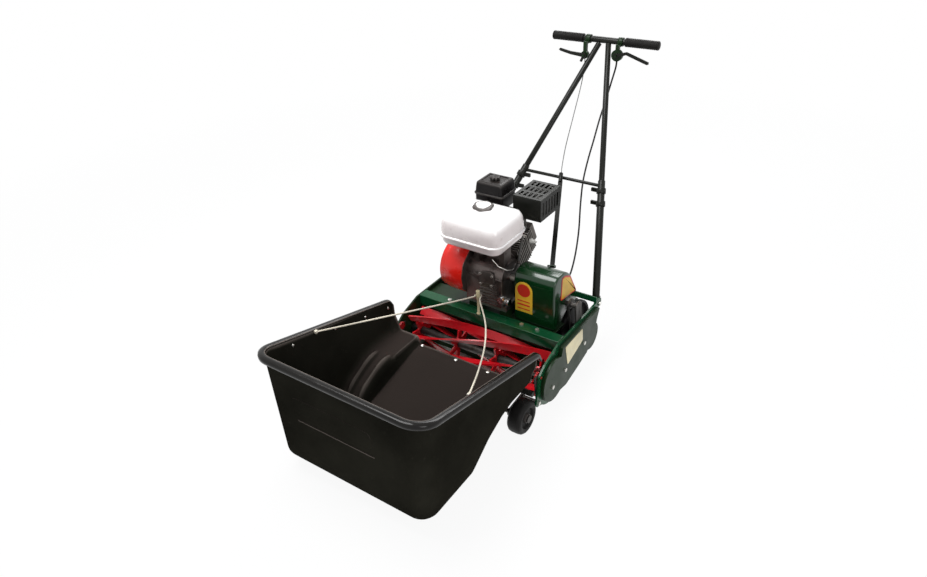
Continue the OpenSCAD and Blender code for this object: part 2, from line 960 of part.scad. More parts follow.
module fuel_tank() {
    color("white")
        difference() {
            union() {
                hull() {
                    tank_layer(-10, tank_low, tank_low + 4);
                    tank_layer(-5, seam_z - 14, seam_z);
                }
                hull()
                    tank_layer(0, seam_z - 3, seam_z + 4);
                hull() {
                    tank_layer(-3, seam_z, seam_z + 34);
                    tank_layer(-7, seam_z + 34, tank_top - 8);
                    tank_layer(-16, tank_top - 5, tank_top);
                }
                translate([cap_xy[0], cap_xy[1], tank_top - 8])
                    cylinder(h = 14, r = 21);
            }
            hull() {
                tank_layer(-14, tank_low + 3, tank_low + 6);
                tank_layer(-8, seam_z - 10, seam_z + 30);
                tank_layer(-20, tank_top - 6, tank_top - 3);
            }
            translate([cap_xy[0], cap_xy[1], tank_top - 12])
                cylinder(h = 30, r = 18);
        }
}

module fuel_cap() {
    color("silver")
        translate([cap_xy[0], cap_xy[1], tank_top + 0.5])
            difference() {
                union() {
                    cylinder(h = 12, r = cap_r);
                    cylinder(h = 15, r = cap_r - 8);
                    for (k = [0 : 5])
                        rotate(60 * k)
                            translate([cap_r - 4, 0, 0])
                                cylinder(h = 12, r = 8, $fn = 24);
                }
                translate([0, 0, -lap])
                    cylinder(h = 6 + lap, r = 21 + seat_gap);
            }
}

// A box centred on the air cleaner, of half sizes a by b, from z0 to z1
module cleaner_block(a, b, z0, z1) {
    block([cleaner_xy[0] - a, cleaner_xy[1] - b, z0], [cleaner_xy[0] + a, cleaner_xy[1] + b, z1]);
}

module air_cleaner() {
    seat = 522;
    color("black")
        difference() {
            union() {
                cleaner_block(50, 44, cleaner_low, seat);
                cleaner_block(54, 48, seat - lap, seat + 5);
                cleaner_block(51, 45, seat + 5 - lap, cleaner_top - 14);
                cleaner_block(46, 40, cleaner_top - 14 - lap, cleaner_top);
            }
            cleaner_block(46, 40, cleaner_low + 4, seat - 4);
            translate([cleaner_xy[0], cleaner_xy[1], cleaner_top - 17])
                cylinder(h = 20, r = 5 + run_gap);
        }
}

module air_cleaner_knob() {
    color("black")
        translate([cleaner_xy[0], cleaner_xy[1], cleaner_top + seat_gap]) {
            difference() {
                cylinder(h = 10, r = 17);
                for (k = [0 : 7])
                    rotate(45 * k)
                        translate([18.5, 0, -lap])
                            cylinder(h = 12, r = 3, $fn = 24);
            }
            translate([0, 0, -15])
                cylinder(h = 16, r = 5);
        }
}

module carburettor() {
    color("gray") {
        on_barrel()
            translate([-25, 155, 45])
                cylinder(h = 30, r = 15);
        block([-62, 118, 428], [-10, 158, cleaner_low]);
        x_bar(-72, -61, choke_yz, 3);
    }
}

module muffler() {
    color("gray") {
        block([2, 134, guard_low + 6], [84, 242, guard_top - 8]);
        for (x = [12, 74])
            for (y = [146, 230])
                translate([x, y, guard_top - 8 - lap])
                    cylinder(h = 6 + lap, r = 4);
        on_barrel()
            translate([32, 156, 45])
                cylinder(h = 24, r = 10);
        translate([barrel_x + 32, 140, 430])
            cylinder(h = guard_low + 7 - 430, r = 9);
    }
}

module muffler_guard() {
    color("black")
        difference() {
            block([-6, 124, guard_low], [92, 252, guard_top]);
            block([-4, 126, guard_low - lap], [90, 250, guard_top - 2]);
            for (x = [6 : 16 : 70])
                for (y = [136 : 38 : 212])
                    block([x, y, guard_top - 3], [x + 8, y + 26, guard_top + lap]);
            for (y = [136 : 18 : 226])
                block([89, y, guard_low + 14], [93, y + 9, guard_top - 14]);
        }
}

module spark_plug() {
    color("white")
        on_barrel()
            rotate([0, 90, 0])
                translate([-8, 144, 50]) {
                    cylinder(h = 6, r = 9, $fn = 6);
                    cylinder(h = 16, r = 6);
                    translate([0, 0, 15])
                        cylinder(h = 8, r = 3);
                }
}

module oil_caps() {
    color("silver") {
        translate([46, -33, base_z + 54])
            rotate([90, 0, 0])
                cylinder(h = 12, r = 11);
        x_bar(case_right, case_right + 14, [-8, base_z + 30], 12);
    }
}

module throttle_arm() {
    color("gray")
        difference() {
            along_x(case_right + 4, case_right + 7) {
                link_outline(arm_pivot, arm_pivot + [24, 74], 6);
                link_outline(arm_pivot, arm_pivot - [24, 14], 5);
            }
            x_bar(case_right, case_right + 12, arm_pivot, 4 + run_gap);
        }
}

module choke_lever() {
    color("black")
        difference() {
            along_x(-70, -66) {
                link_outline(choke_yz, choke_yz + [16, -20], 5);
                translate(choke_yz)
                    circle(7);
            }
            x_bar(-75, -61, choke_yz, 3 + run_gap);
        }
}

// ---- Handle and controls ----

module lower_legs() {
    color("dimgray")
        both_sides() {
            difference() {
                union() {
                    bar(leg_at(0), leg_at(joint_at), lower_leg_d);
                    x_bar(half_gap - 8, half_gap, leg_bolt_yz, 12);
                    along_x(half_gap - 8, half_gap)
                        polygon([
                            [200, 190], [212, 172], [228, 186], [230, 198], [215, 203], [212.3, 196.7],
                            [204, 196.7]
                        ]);
                }
                bar(leg_at(joint_at - 0.12), leg_at(joint_at + 0.02), upper_leg_d + 2 * run_gap);
                x_bar(half_gap - 20, half_gap + lap, leg_bolt_yz, stud_r + run_gap);
            }
        }
}

module upper_legs() {
    color("black")
        difference() {
            both_sides()
                bar(leg_at(joint_at - 0.1), leg_at(1), upper_leg_d);
            x_bar(-60, 60, [bar_y, bar_h], bar_d / 2);
        }
}

module t_bar() {
    color("black")
        x_bar(-bar_l / 2 + 3, bar_l / 2 - 3, [bar_y, bar_h], bar_d / 2);
}

module hand_grips() {
    color("black")
        both_sides()
            difference() {
                x_bar(bar_l / 2 - grip_l, bar_l / 2, [bar_y, bar_h], grip_d / 2);
                x_bar(bar_l / 2 - grip_l - lap, bar_l / 2 - 3, [bar_y, bar_h], bar_d / 2 + run_gap);
            }
}

module brace_bar() {
    at = leg_at(brace_at);
    color("black")
        difference() {
            bar([-at[0], at[1], at[2]], at, 11);
            both_sides()
                bar(leg_at(0), leg_at(joint_at), lower_leg_d);
        }
}

// A clamp collar round the leg, with its ear and bolt
module leg_collar(t) {
    a = leg_at(t);
    b = leg_at(t + 0.02);
    color("black")
        difference() {
            union() {
                bar(a, b, lower_leg_d + 7);
                translate((a + b) / 2 + [-24, 0, 0])
                    cube([22, 8, 12], center = true);
            }
            bar(leg_at(t - 0.02), leg_at(t + 0.04), lower_leg_d + 2 * run_gap);
        }
}

module leg_joints() {
    both_sides() {
        leg_collar(joint_at - 0.1);
        leg_collar(joint_at - 0.05);
    }
}

module clutch_lever() {
    color("black")
        translate(clutch_xyz)
            rotate([90, 0, 0])
                difference() {
                    translate([0, 0, 8])
                        linear_extrude(6) {
                            circle(9);
                            polygon([
                                [0, -6], [-50, -1], [-88, 7], [-94, 11], [-90, 16], [-50, 9], [0, 7]
                            ]);
                            polygon([[4, -4], [-5, -2], [-13, -20], [-6, -23]]);
                        }
                    cylinder(h = 30, r = 4 + run_gap);
                }
}

// The two control brackets, clamped round the T-bar
module control_bracket(at, r) {
    difference() {
        union() {
            translate([at[0], at[1] + 8, at[2]])
                rotate([90, 0, 0])
                    cylinder(h = 15, r = r);
            x_bar(at[0] - 8, at[0] + 8, [bar_y, bar_h], bar_d / 2 + 4);
            block([at[0] - 6, at[1] - 4, at[2]], [at[0] + 6, at[1] + 8, bar_h - 4]);
            block([at[0] - 6, at[1], bar_h - 13], [at[0] + 6, bar_y, bar_h - 4]);
        }
        x_bar(at[0] - 20, at[0] + 20, [bar_y, bar_h], bar_d / 2 + run_gap);
    }
    translate([at[0], at[1] - 7 + lap, at[2]])
        rotate([90, 0, 0])
            cylinder(h = 11, r = 4);
}

module throttle_control() {
    color("darkgreen")
        control_bracket(throttle_xyz, 19);
    color("black")
        control_bracket(clutch_xyz, 13);
}

module throttle_lever() {
    color("black")
        translate(throttle_xyz)
            rotate([90, 0, 0])
                difference() {
                    translate([0, 0, 8])
                        linear_extrude(5) {
                            circle(9);
                            polygon([
                                [0, -6], [36, 7], [110, -17], [116, -15], [116, -8], [38, 17], [0, 7]
                            ]);
                        }
                    cylinder(h = 30, r = 4 + run_gap);
                }
}

// The clutch rod's own frame: Z runs up the rod from its lower end
module rod_frame() {
    v = rod_top - rod_low;
    translate(rod_low)
        rotate([0, acos(v[2] / norm(v)), atan2(v[1], v[0])])
            children();
}

module rod_guide() {
    difference() {
        translate([-7, -13, 4])
            cube([14, 30, 8]);
        translate([-2.7, -8, 2])
            cube([5.4, 16, 12]);
    }
}

module clutch_rod() {
    rod_l = norm(rod_top - rod_low);
    color("gray")
        rod_frame()
            difference() {
                union() {
                    translate([-2.2, -7.5, 0])
                        cube([4.4, 15, rod_l - 20]);
                    translate([0, 0, rod_l - 22])
                        cylinder(h = 34, r = 7);
                }
                translate([0, 0, rod_l - 12])
                    cylinder(h = 30, r = 3);
            }
}

module control_cables() {
    color("silver")
        cord(smooth(clutch_cable, 4), 3, [1, 0, 0]);
    color("black")
        cord(smooth(throttle_cable, 4), 6, [1, 0, 0]);
}

// ---- Grass catcher ----

// The tapered rounded tub, solid, grown by g all round
module tub_solid(g) {
    hull() {
        for (side = [-1, 1]) {
            translate([side * (catcher_w / 2 + g - corner_r), front_y + lip_w - g + corner_r, 396])
                cylinder(h = 4, r = corner_r, $fn = 32);
            translate([side * (catcher_floor_w / 2 + g - foot_r), front_y + lip_w + 6 - g + foot_r, 24])
                cylinder(h = 4, r = foot_r, $fn = 32);
            translate([side * (catcher_w / 2 + g) - (side > 0 ? 1 : 0), -120, 396])
                cube([1, 1, 4]);
            translate([side * (catcher_floor_w / 2 + g) - (side > 0 ? 1 : 0), -120, 24])
                cube([1, 1, 4]);
        }
    }
}

function rim_at(y) = rim_front_z - rim_slope * (y + 730);

// Side view of the tub with its raised parts over the front wheels, inset by g
module arch_outline(g) {
    over = g > 0 ? 60 : 0;
    open = 40 * sign(g);
    low = catcher_floor + g;
    polygon([
        [front_y, rim_at(front_y) + over], [catcher_rear + open, rim_at(catcher_rear) + over],
        [catcher_rear + open, wheel_roof + g], [-322, wheel_roof + g], [-376, wheel_roof - 12 + g],
        [-443, 100 + g], [-520, low], [-678, low], [-702, low + 5], [-724 + g, low + 26], [front_y, low + 54]
    ]);
}

// Side view of the middle, with the ramp up to the mouth's lip, inset by g
module ramp_outline(g) {
    open = 30 * sign(g);
    polygon([
        [-700, 200], [catcher_rear + open, 200], [catcher_rear + open, lip_low + g], [-230, lip_low + g],
        [-520, catcher_floor + g], [-620, catcher_floor + g]
    ]);
}

module grass_catcher() {
    color("black")
        difference() {
            union() {
                intersection() {
                    tub_solid(0);
                    union() {
                        along_x(-catcher_w, catcher_w)
                            arch_outline(0);
                        along_x(-arch_x, arch_x)
                            ramp_outline(0);
                    }
                }
                intersection() {
                    tub_solid(lip_w);
                    along_x(-catcher_w, catcher_w)
                        polygon([
                            [front_y, rim_at(front_y) - lip_h], [catcher_rear, rim_at(catcher_rear) - lip_h],
                            [catcher_rear, rim_at(catcher_rear)], [front_y, rim_at(front_y)]
                        ]);
                }
            }
            intersection() {
                tub_solid(-wall_t);
                union() {
                    along_x(-catcher_w, catcher_w)
                        arch_outline(wall_t);
                    along_x(-arch_x + wall_t, arch_x - wall_t)
                        ramp_outline(wall_t);
                }
            }
            both_sides()
                block([notch_x, notch_y, lip_low], [catcher_w, catcher_rear + lap, notch_top]);
        }
}

module catcher_rope() {
    color("white")
        cord(smooth(rope_route, 6), 5, [0, 0, 1]);
}

side_plate_left();
side_plate_right();
front_cross_member();
rear_cross_member();
engine_deck();
front_tie_bar();
sole_plate();
bottom_blade();
bearing_housings();
chassis_bolts();
chain_cover();
belt_cover();
cover_plates();
rope_cleat();
reel_shaft();
reel_spiders();
reel_blades();
roller_shaft();
roller_left_half();
roller_right_half();
countershaft();
drive_belt();
reel_chain();
roller_chain();
front_axle();
front_wheel_left();
front_wheel_right();
adjuster_knob_left();
adjuster_knob_right();
engine_block();
cylinder_barrel();
cylinder_head();
blower_housing();
recoil_cover();
recoil_grip();
crankshaft();
fuel_tank();
fuel_cap();
air_cleaner();
air_cleaner_knob();
carburettor();
muffler();
muffler_guard();
spark_plug();
oil_caps();
throttle_arm();
choke_lever();
lower_legs();
upper_legs();
t_bar();
hand_grips();
brace_bar();
leg_joints();
clutch_lever();
throttle_control();
throttle_lever();
clutch_rod();
control_cables();
grass_catcher();
catcher_rope();
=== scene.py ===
"""Looks of the reel mower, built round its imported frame. Metres, X across, -Y to the front, Z up."""

import math

import bmesh
import bpy
from mathutils import Matrix, Vector


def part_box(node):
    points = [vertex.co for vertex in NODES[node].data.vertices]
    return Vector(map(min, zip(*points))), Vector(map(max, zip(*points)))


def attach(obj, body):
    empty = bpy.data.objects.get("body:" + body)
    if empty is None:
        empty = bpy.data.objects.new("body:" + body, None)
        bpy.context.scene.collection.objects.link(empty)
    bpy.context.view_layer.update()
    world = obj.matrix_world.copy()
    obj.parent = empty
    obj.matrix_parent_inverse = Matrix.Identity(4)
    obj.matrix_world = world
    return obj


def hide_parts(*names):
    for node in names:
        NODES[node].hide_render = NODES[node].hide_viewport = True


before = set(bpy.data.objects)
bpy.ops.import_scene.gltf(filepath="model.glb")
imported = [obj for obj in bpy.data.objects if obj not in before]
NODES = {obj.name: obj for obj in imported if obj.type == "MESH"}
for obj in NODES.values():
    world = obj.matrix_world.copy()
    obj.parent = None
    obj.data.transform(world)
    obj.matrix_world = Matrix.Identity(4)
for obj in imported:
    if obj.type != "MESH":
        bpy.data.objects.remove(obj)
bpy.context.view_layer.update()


# ---- Materials ----


def srgb(*levels):
    """A linear colour from 0-255 screen levels."""
    out = []
    for level in levels:
        c = level / 255
        out.append(c / 12.92 if c <= 0.04045 else ((c + 0.055) / 1.055) ** 2.4)
    return (*out, 1.0)


def scaled(colour, by):
    return (*[min(1.0, c * by) for c in colour[:3]], 1.0)


class Shader:
    """A principled material whose colour, roughness and bump come from noise in the row frame."""

    def __init__(self, name, metallic=0.0, coat=0.0, specular=0.5):
        self.mat = bpy.data.materials.new(name)
        self.mat.use_nodes = True
        self.tree = self.mat.node_tree
        self.bsdf = self.tree.nodes["Principled BSDF"]
        self.bsdf.inputs["Metallic"].default_value = metallic
        self.bsdf.inputs["Specular IOR Level"].default_value = specular
        self.bsdf.inputs["Coat Weight"].default_value = coat
        self.bsdf.inputs["Coat Roughness"].default_value = 0.12
        self.coords = self.tree.nodes.new("ShaderNodeTexCoord")
        self.height = None

    def link(self, a, b):
        self.tree.links.new(a, b)

    def noise(self, scale, detail=4.0, rough=0.55, stretch=(1, 1, 1)):
        """A noise value; stretch squeezes it along an axis, as brushing does."""
        mapping = self.tree.nodes.new("ShaderNodeMapping")
        mapping.inputs["Scale"].default_value = stretch
        self.link(self.coords.outputs["Object"], mapping.inputs["Vector"])
        tex = self.tree.nodes.new("ShaderNodeTexNoise")
        tex.inputs["Scale"].default_value = scale
        tex.inputs["Detail"].default_value = detail
        tex.inputs["Roughness"].default_value = rough
        self.link(mapping.outputs["Vector"], tex.inputs["Vector"])
        return tex.outputs["Fac"]

    def ramp(self, value, low, high):
        """Stretches value so that low becomes 0 and high becomes 1."""
        node = self.tree.nodes.new("ShaderNodeMapRange")
        node.inputs["From Min"].default_value = low
        node.inputs["From Max"].default_value = high
        self.link(value, node.inputs["Value"])
        return node.outputs["Result"]

    def spread(self, value, low, high):
        """Turns a noise value into one between low and high."""
        node = self.tree.nodes.new("ShaderNodeMapRange")
        node.inputs["From Min"].default_value = 0.3
        node.inputs["From Max"].default_value = 0.7
        node.inputs["To Min"].default_value = low
        node.inputs["To Max"].default_value = high
        self.link(value, node.inputs["Value"])
        return node.outputs["Result"]

    def mix(self, factor, a, b):
        """Mixes colours a and b; each is a colour or another node's output."""
        node = self.tree.nodes.new("ShaderNodeMix")
        node.data_type = "RGBA"
        self.link(factor, node.inputs["Factor"])
        for side, value in (("A", a), ("B", b)):
            socket = [s for s in node.inputs if s.name == side and s.type == "RGBA"][0]
            if isinstance(value, tuple):
                socket.default_value = value
            else:
                self.link(value, socket)
        return [s for s in node.outputs if s.type == "RGBA"][0]

    def colour(self, output):
        self.link(output, self.bsdf.inputs["Base Color"])
        return self

    def rough(self, value, low, high):
        self.link(self.spread(value, low, high), self.bsdf.inputs["Roughness"])
        return self

    def bump(self, value, strength, depth):
        node = self.tree.nodes.new("ShaderNodeBump")
        node.inputs["Strength"].default_value = strength
        node.inputs["Distance"].default_value = depth
        self.link(value, node.inputs["Height"])
        if self.height is not None:
            self.link(self.height, node.inputs["Normal"])
        self.height = node.outputs["Normal"]
        self.link(self.height, self.bsdf.inputs["Normal"])
        return self


def painted(name, base, dirt, gloss=0.25, metal=0.0, chips=None, coat=0.25, specular=0.3):
    """Sprayed enamel: slow colour drift, dirt in patches, a few worn specks and a light orange peel."""
    s = Shader(name, metallic=metal, coat=coat, specular=specular)
    drift = s.mix(s.ramp(s.noise(6.0), 0.35, 0.65), scaled(base, 0.8), scaled(base, 1.2))
    dusty = s.mix(s.ramp(s.noise(22.0, 8.0, 0.7), 0.56, 0.78), drift, dirt)
    if chips:
        dusty = s.mix(s.ramp(s.noise(150.0, 3.0), 0.71, 0.73), dusty, chips)
    s.colour(dusty)
    s.rough(s.noise(14.0, 6.0), gloss, gloss + 0.18)
    s.bump(s.noise(420.0, 2.0), 0.12, 0.0006)
    return s.mat


def moulded(name, base, rough=0.45, grain=900.0, depth=0.0004, specular=0.5, up_facing_light=None, edge=None):
    """Moulded plastic or rubber: fine grain, scuffs, a painted light that makes what faces up paler, and
    painted highlights on the sharp edges.
    """
    s = Shader(name, specular=specular)
    shape = s.tree.nodes.new("ShaderNodeNewGeometry")
    drift = s.mix(s.ramp(s.noise(5.0), 0.35, 0.65), scaled(base, 0.75), scaled(base, 1.3))
    surface = s.mix(s.ramp(s.noise(60.0, 8.0, 0.75), 0.60, 0.80), drift, scaled(base, 2.2))
    # Painted light: surfaces that face up are mixed towards a paler colour, as if lit from above.
    if up_facing_light:
        parts = s.tree.nodes.new("ShaderNodeSeparateXYZ")
        s.link(shape.outputs["Normal"], parts.inputs["Vector"])
        surface = s.mix(s.ramp(parts.outputs["Z"], 0.45, 1.0), surface, up_facing_light)
    # Painted highlight: sharp convex edges, found by pointiness, are mixed towards a paler colour.
    if edge:
        surface = s.mix(s.ramp(shape.outputs["Pointiness"], 0.53, 0.60), surface, edge)
    s.colour(surface)
    s.rough(s.noise(18.0, 5.0), rough - 0.08, rough + 0.12)
    s.bump(s.noise(grain, 2.0), 0.25, depth)
    return s.mat


def metal(name, base, rough=0.3, brushed=(1, 1, 1), pits=0.0, stain=None, edge=None):
    """Bare or plated metal, brushed along one axis or cast with pits, with painted highlights on its
    sharp edges.
    """
    s = Shader(name, metallic=1.0)
    drift = s.mix(s.ramp(s.noise(9.0), 0.35, 0.65), scaled(base, 0.78), scaled(base, 1.15))
    if stain:
        drift = s.mix(s.ramp(s.noise(35.0, 8.0, 0.7), 0.52, 0.74), drift, stain)
    # Painted highlight: sharp convex edges, found by pointiness, are mixed towards a paler colour.
    if edge:
        shape = s.tree.nodes.new("ShaderNodeNewGeometry")
        drift = s.mix(s.ramp(shape.outputs["Pointiness"], 0.55, 0.64), drift, edge)
    s.colour(drift)
    s.rough(s.noise(30.0, 6.0), rough, rough + 0.2)
    s.bump(s.noise(500.0, 3.0, stretch=brushed), 0.15, 0.0004)
    if pits:
        s.bump(s.noise(260.0, 5.0, 0.7), pits, 0.0008)
    return s.mat


def tank_enamel_painted_shade():
    """White enamel with painted light and shade: what faces up is painted a lighter white, and the
    upright sides and the downward faces under the seam are painted a pinkish grey as shade.
    """
    s = Shader("tank_white_enamel_painted_shade", coat=0.5)
    shape = s.tree.nodes.new("ShaderNodeNewGeometry")
    parts = s.tree.nodes.new("ShaderNodeSeparateXYZ")
    s.link(shape.outputs["Normal"], parts.inputs["Vector"])
    # Painted light and shade: the height of the face normal picks the lighter white on top and the
    # pinkish grey of painted shade on the sides, which is blotched with a deeper pinkish grey.
    painted_light_from_above = s.ramp(parts.outputs["Z"], 0.15, 0.75)
    drift = s.mix(s.ramp(s.noise(9.0), 0.35, 0.65), srgb(226, 215, 213), srgb(238, 229, 227))
    sides = s.mix(s.ramp(s.noise(60.0, 8.0, 0.7), 0.58, 0.76), drift, srgb(208, 193, 190))
    s.colour(s.mix(painted_light_from_above, sides, srgb(247, 245, 244)))
    s.rough(s.noise(14.0, 6.0), 0.16, 0.30)
    s.bump(s.noise(420.0, 2.0), 0.08, 0.0004)
    return s.mat


MATERIALS = {
    "green": painted(
        "green_enamel", srgb(9, 68, 38), srgb(18, 54, 32), 0.16, chips=srgb(60, 70, 60), coat=0.16,
        specular=0.2,
    ),
    "dark_green": painted(
        "dark_green_enamel", srgb(18, 38, 16), srgb(32, 42, 22), 0.30, coat=0.08, specular=0.14
    ),
    "cover_green": painted(
        "cover_green_enamel", srgb(8, 46, 19), srgb(14, 40, 18), 0.10, coat=0.5, specular=0.25
    ),
    "red": painted(
        "reel_red_enamel", srgb(186, 14, 26), srgb(110, 22, 26), 0.28, chips=srgb(120, 110, 105)
    ),
    "recoil_red": painted("recoil_red_enamel", srgb(214, 30, 20), srgb(120, 30, 24), 0.24),
    "knob_red": moulded("knob_red_plastic", srgb(150, 18, 20), 0.3, 600.0, 0.0002),
    "black_paint": painted(
        "black_enamel", srgb(20, 21, 17), srgb(36, 36, 30), 0.28, coat=0.1, specular=0.14
    ),
    "tank": tank_enamel_painted_shade(),
    # The paler colours given for what faces up and for the edges are painted light and painted
    # highlights on the catcher.
    "catcher": moulded(
        "catcher_plastic", srgb(34, 33, 28), 0.42, 700.0, 0.0003, 0.0,
        up_facing_light=srgb(50, 44, 41), edge=srgb(112, 104, 98),
    ),
    "catcher_rim": moulded("catcher_rim_plastic", srgb(22, 20, 18), 0.16, 700.0, 0.0001, 0.20),
    # The paler colours given for what faces up and for the edges are painted light and painted
    # highlights.
    "black_plastic": moulded(
        "black_plastic", srgb(20, 18, 18), 0.30, 900.0, 0.0003, 0.14,
        up_facing_light=srgb(40, 36, 34), edge=srgb(110, 104, 100),
    ),
    "grip": moulded("grip_rubber", srgb(18, 17, 16), 0.55, 1300.0, 0.0006, 0.14),
    "rubber": moulded("roller_rubber", srgb(20, 19, 18), 0.5, 500.0, 0.0010, 0.14),
    "cable": moulded("cable_sheath", srgb(16, 15, 15), 0.38, 1500.0, 0.0002, 0.2),
    "thin_cable": moulded("thin_cable_sheath", srgb(118, 118, 116), 0.6, 1500.0, 0.0002, 0.2),
    # The edge colours of both cast alloys are painted highlights on their fins and edges.
    "alloy": metal(
        "cast_alloy", srgb(100, 94, 90), 0.36, pits=0.5, stain=srgb(44, 40, 36), edge=srgb(214, 210, 204)
    ),
    "dark_alloy": metal(
        "dark_cast_alloy", srgb(98, 90, 87), 0.32, pits=0.5, stain=srgb(24, 21, 20),
        edge=srgb(150, 146, 142),
    ),
    "steel": metal("bright_steel", srgb(214, 212, 206), 0.28, (1, 12, 1)),
    "dark_steel": metal("dark_steel", srgb(74, 72, 70), 0.40, (1, 8, 1), stain=srgb(52, 42, 34)),
    "chrome": metal("polished_steel", srgb(214, 214, 214), 0.12),
    "cap_metal": metal("pressed_cap_steel", srgb(96, 92, 90), 0.34),
    # The cap's top disc is a paler steel than its skirt.
    "cap_top": metal("pale_cap_top", srgb(232, 230, 228), 0.30),
    "cream": moulded("cream_plastic", srgb(226, 214, 172), 0.36, 700.0, 0.0002),
    "yellow": moulded("yellow_plate", srgb(222, 176, 48), 0.34, 900.0, 0.0001),
    "red_dot": moulded("red_print", srgb(196, 44, 26), 0.34, 900.0, 0.0001),
    "rope": moulded("white_cord", srgb(212, 204, 186), 0.7, 1400.0, 0.0008),
    "ceramic": moulded("white_ceramic", srgb(220, 218, 212), 0.25, 400.0, 0.0001),
}

CAD_FINISH = {
    "green": "front_cross_member rear_cross_member side_plate_right",
    "dark_green": "side_plate_left engine_deck sole_plate chain_cover throttle_control",
    "red": "reel_spiders reel_blades",
    "recoil_red": "recoil_cover blower_housing",
    "knob_red": "adjuster_knob_left adjuster_knob_right",
    "black_paint": "muffler_guard lower_legs upper_legs t_bar brace_bar leg_joints clutch_lever "
    "throttle_lever front_tie_bar clutch_rod",
    "black_plastic": "recoil_grip choke_lever",
    "rubber": "roller_left_half roller_right_half drive_belt",
    "alloy": "cylinder_barrel cylinder_head carburettor",
    "dark_alloy": "engine_block",
    "steel": "bottom_blade chassis_bolts crankshaft",
    "dark_steel": "bearing_housings reel_shaft roller_shaft countershaft reel_chain roller_chain "
    "front_axle throttle_arm muffler",
    "chrome": "oil_caps",
    "cream": "rope_cleat",
    "ceramic": "spark_plug",
}

# Width of the rounding on each CAD node's edges; the others get EDGE
EDGE = 0.0008
EDGES = {
    "side_plate_left": 0.0015,
    "side_plate_right": 0.0015,
    "chain_cover": 0.0007,
    "front_cross_member": 0.0016,
    "rear_cross_member": 0.0016,
    "engine_block": 0.0018,
    "cylinder_head": 0.0010,
    "cylinder_barrel": 0.0008,
    "recoil_cover": 0.0016,
    "blower_housing": 0.0012,
    "muffler_guard": 0.0008,
    "sole_plate": 0.0008,
}
PLAIN_EDGES = ("reel_blades", "reel_chain", "roller_chain")


def dress_cad():
    """Gives every shown CAD node its material and rounds its hard edges."""
    for material, names in CAD_FINISH.items():
        for name in names.split():
            node = NODES[name]
            node.data.materials.clear()
            node.data.materials.append(MATERIALS[material])
            if name in PLAIN_EDGES:
                continue
            weld = node.modifiers.new("weld", "WELD")
            weld.merge_threshold = 0.00002
            rounding = node.modifiers.new("rounding", "BEVEL")
            rounding.width = EDGES.get(name, EDGE)
            rounding.segments = 2
            rounding.limit_method = "ANGLE"
            rounding.angle_limit = math.radians(40)
            rounding.harden_normals = True


# ---- Shapes ----


def mm(*values):
    """Millimetres, as in the part's source, as metres."""
    return Vector([v / 1000 for v in values])


def add(name, bm, material, body, stands_for=(), smooth=40):
    """Makes a piece of the mesh, which rides on a body and may stand for CAD nodes."""
    bmesh.ops.remove_doubles(bm, verts=bm.verts, dist=0.000005)
    bmesh.ops.recalc_face_normals(bm, faces=bm.faces)
    mesh = bpy.data.meshes.new(name)
    bm.to_mesh(mesh)
    bm.free()
    mesh.shade_smooth()
    mesh.set_sharp_from_angle(angle=math.radians(smooth))
    mesh.materials.append(MATERIALS[material])
    piece = bpy.data.objects.new(name, mesh)
    bpy.context.scene.collection.objects.link(piece)
    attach(piece, body)
    if stands_for:
        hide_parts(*stands_for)
    return piece


def skin(bm, rings, closed=True, start_cap=True, end_cap=True):
    """Joins rings of points, all of one length, with quads; the ends can be capped."""
    rows = [[bm.verts.new(p) for p in ring] for ring in rings]
    count = len(rows[0])
    span = count if closed else count - 1
    for low, high in zip(rows, rows[1:]):
        for k in range(span):
            m = (k + 1) % count
            bm.faces.new((low[k], low[m], high[m], high[k]))
    if start_cap:
        bm.faces.new(rows[0][::-1])
    if end_cap:
        bm.faces.new(rows[-1])
    return rows


def rounded_ring(centre, half, corner, z, steps=8):
    """Points of a rounded rectangle of half sizes half, at height z."""
    points = []
    for quarter, (i, j) in enumerate(((1, 1), (-1, 1), (-1, -1), (1, -1))):
        middle = (centre[0] + i * (half[0] - corner), centre[1] + j * (half[1] - corner))
        for k in range(steps + 1):
            turn = math.radians(90 * (quarter + k / steps))
            points.append(
                Vector((middle[0] + corner * math.cos(turn), middle[1] + corner * math.sin(turn), z))
            )
    return points


def boxy(bm, centre, half, corner, layers):
    """A rounded box; layers are (inset, z) from the bottom up."""
    rings = []
    for inset, z in layers:
        size = (half[0] - inset, half[1] - inset)
        rings.append(rounded_ring(centre, size, max(corner - inset, 0.002), z))
    skin(bm, rings)


def lathe(bm, centre, axis, profile, steps=48, lobes=0, depth=0.0):
    """A turned body; profile is (along the axis, radius); lobes and depth scallop its rim."""
    axis = Vector(axis).normalized()
    side = axis.orthogonal().normalized()
    other = axis.cross(side)
    rings = []
    for along, radius in profile:
        middle = Vector(centre) + axis * along
        ring = []
        for k in range(steps):
            turn = 2 * math.pi * k / steps
            r = radius * (1 + depth * math.cos(lobes * turn)) if lobes else radius
            ring.append(middle + side * (r * math.cos(turn)) + other * (r * math.sin(turn)))
        rings.append(ring)
    skin(bm, rings)


def filleted(points, radius, steps=5):
    """The 2D outline with its corners rounded to radius, or less where a side is short."""
    out = []
    count = len(points)
    for k in range(count):
        a, b, c = (Vector(points[(k + i) % count]) for i in (-1, 0, 1))
        to_a, to_c = (a - b), (c - b)
        reach = min(radius, 0.45 * to_a.length, 0.45 * to_c.length)
        start = b + to_a.normalized() * reach
        end = b + to_c.normalized() * reach
        for i in range(steps + 1):
            t = i / steps
            out.append((1 - t) ** 2 * start + 2 * t * (1 - t) * b + t * t * end)
    return out


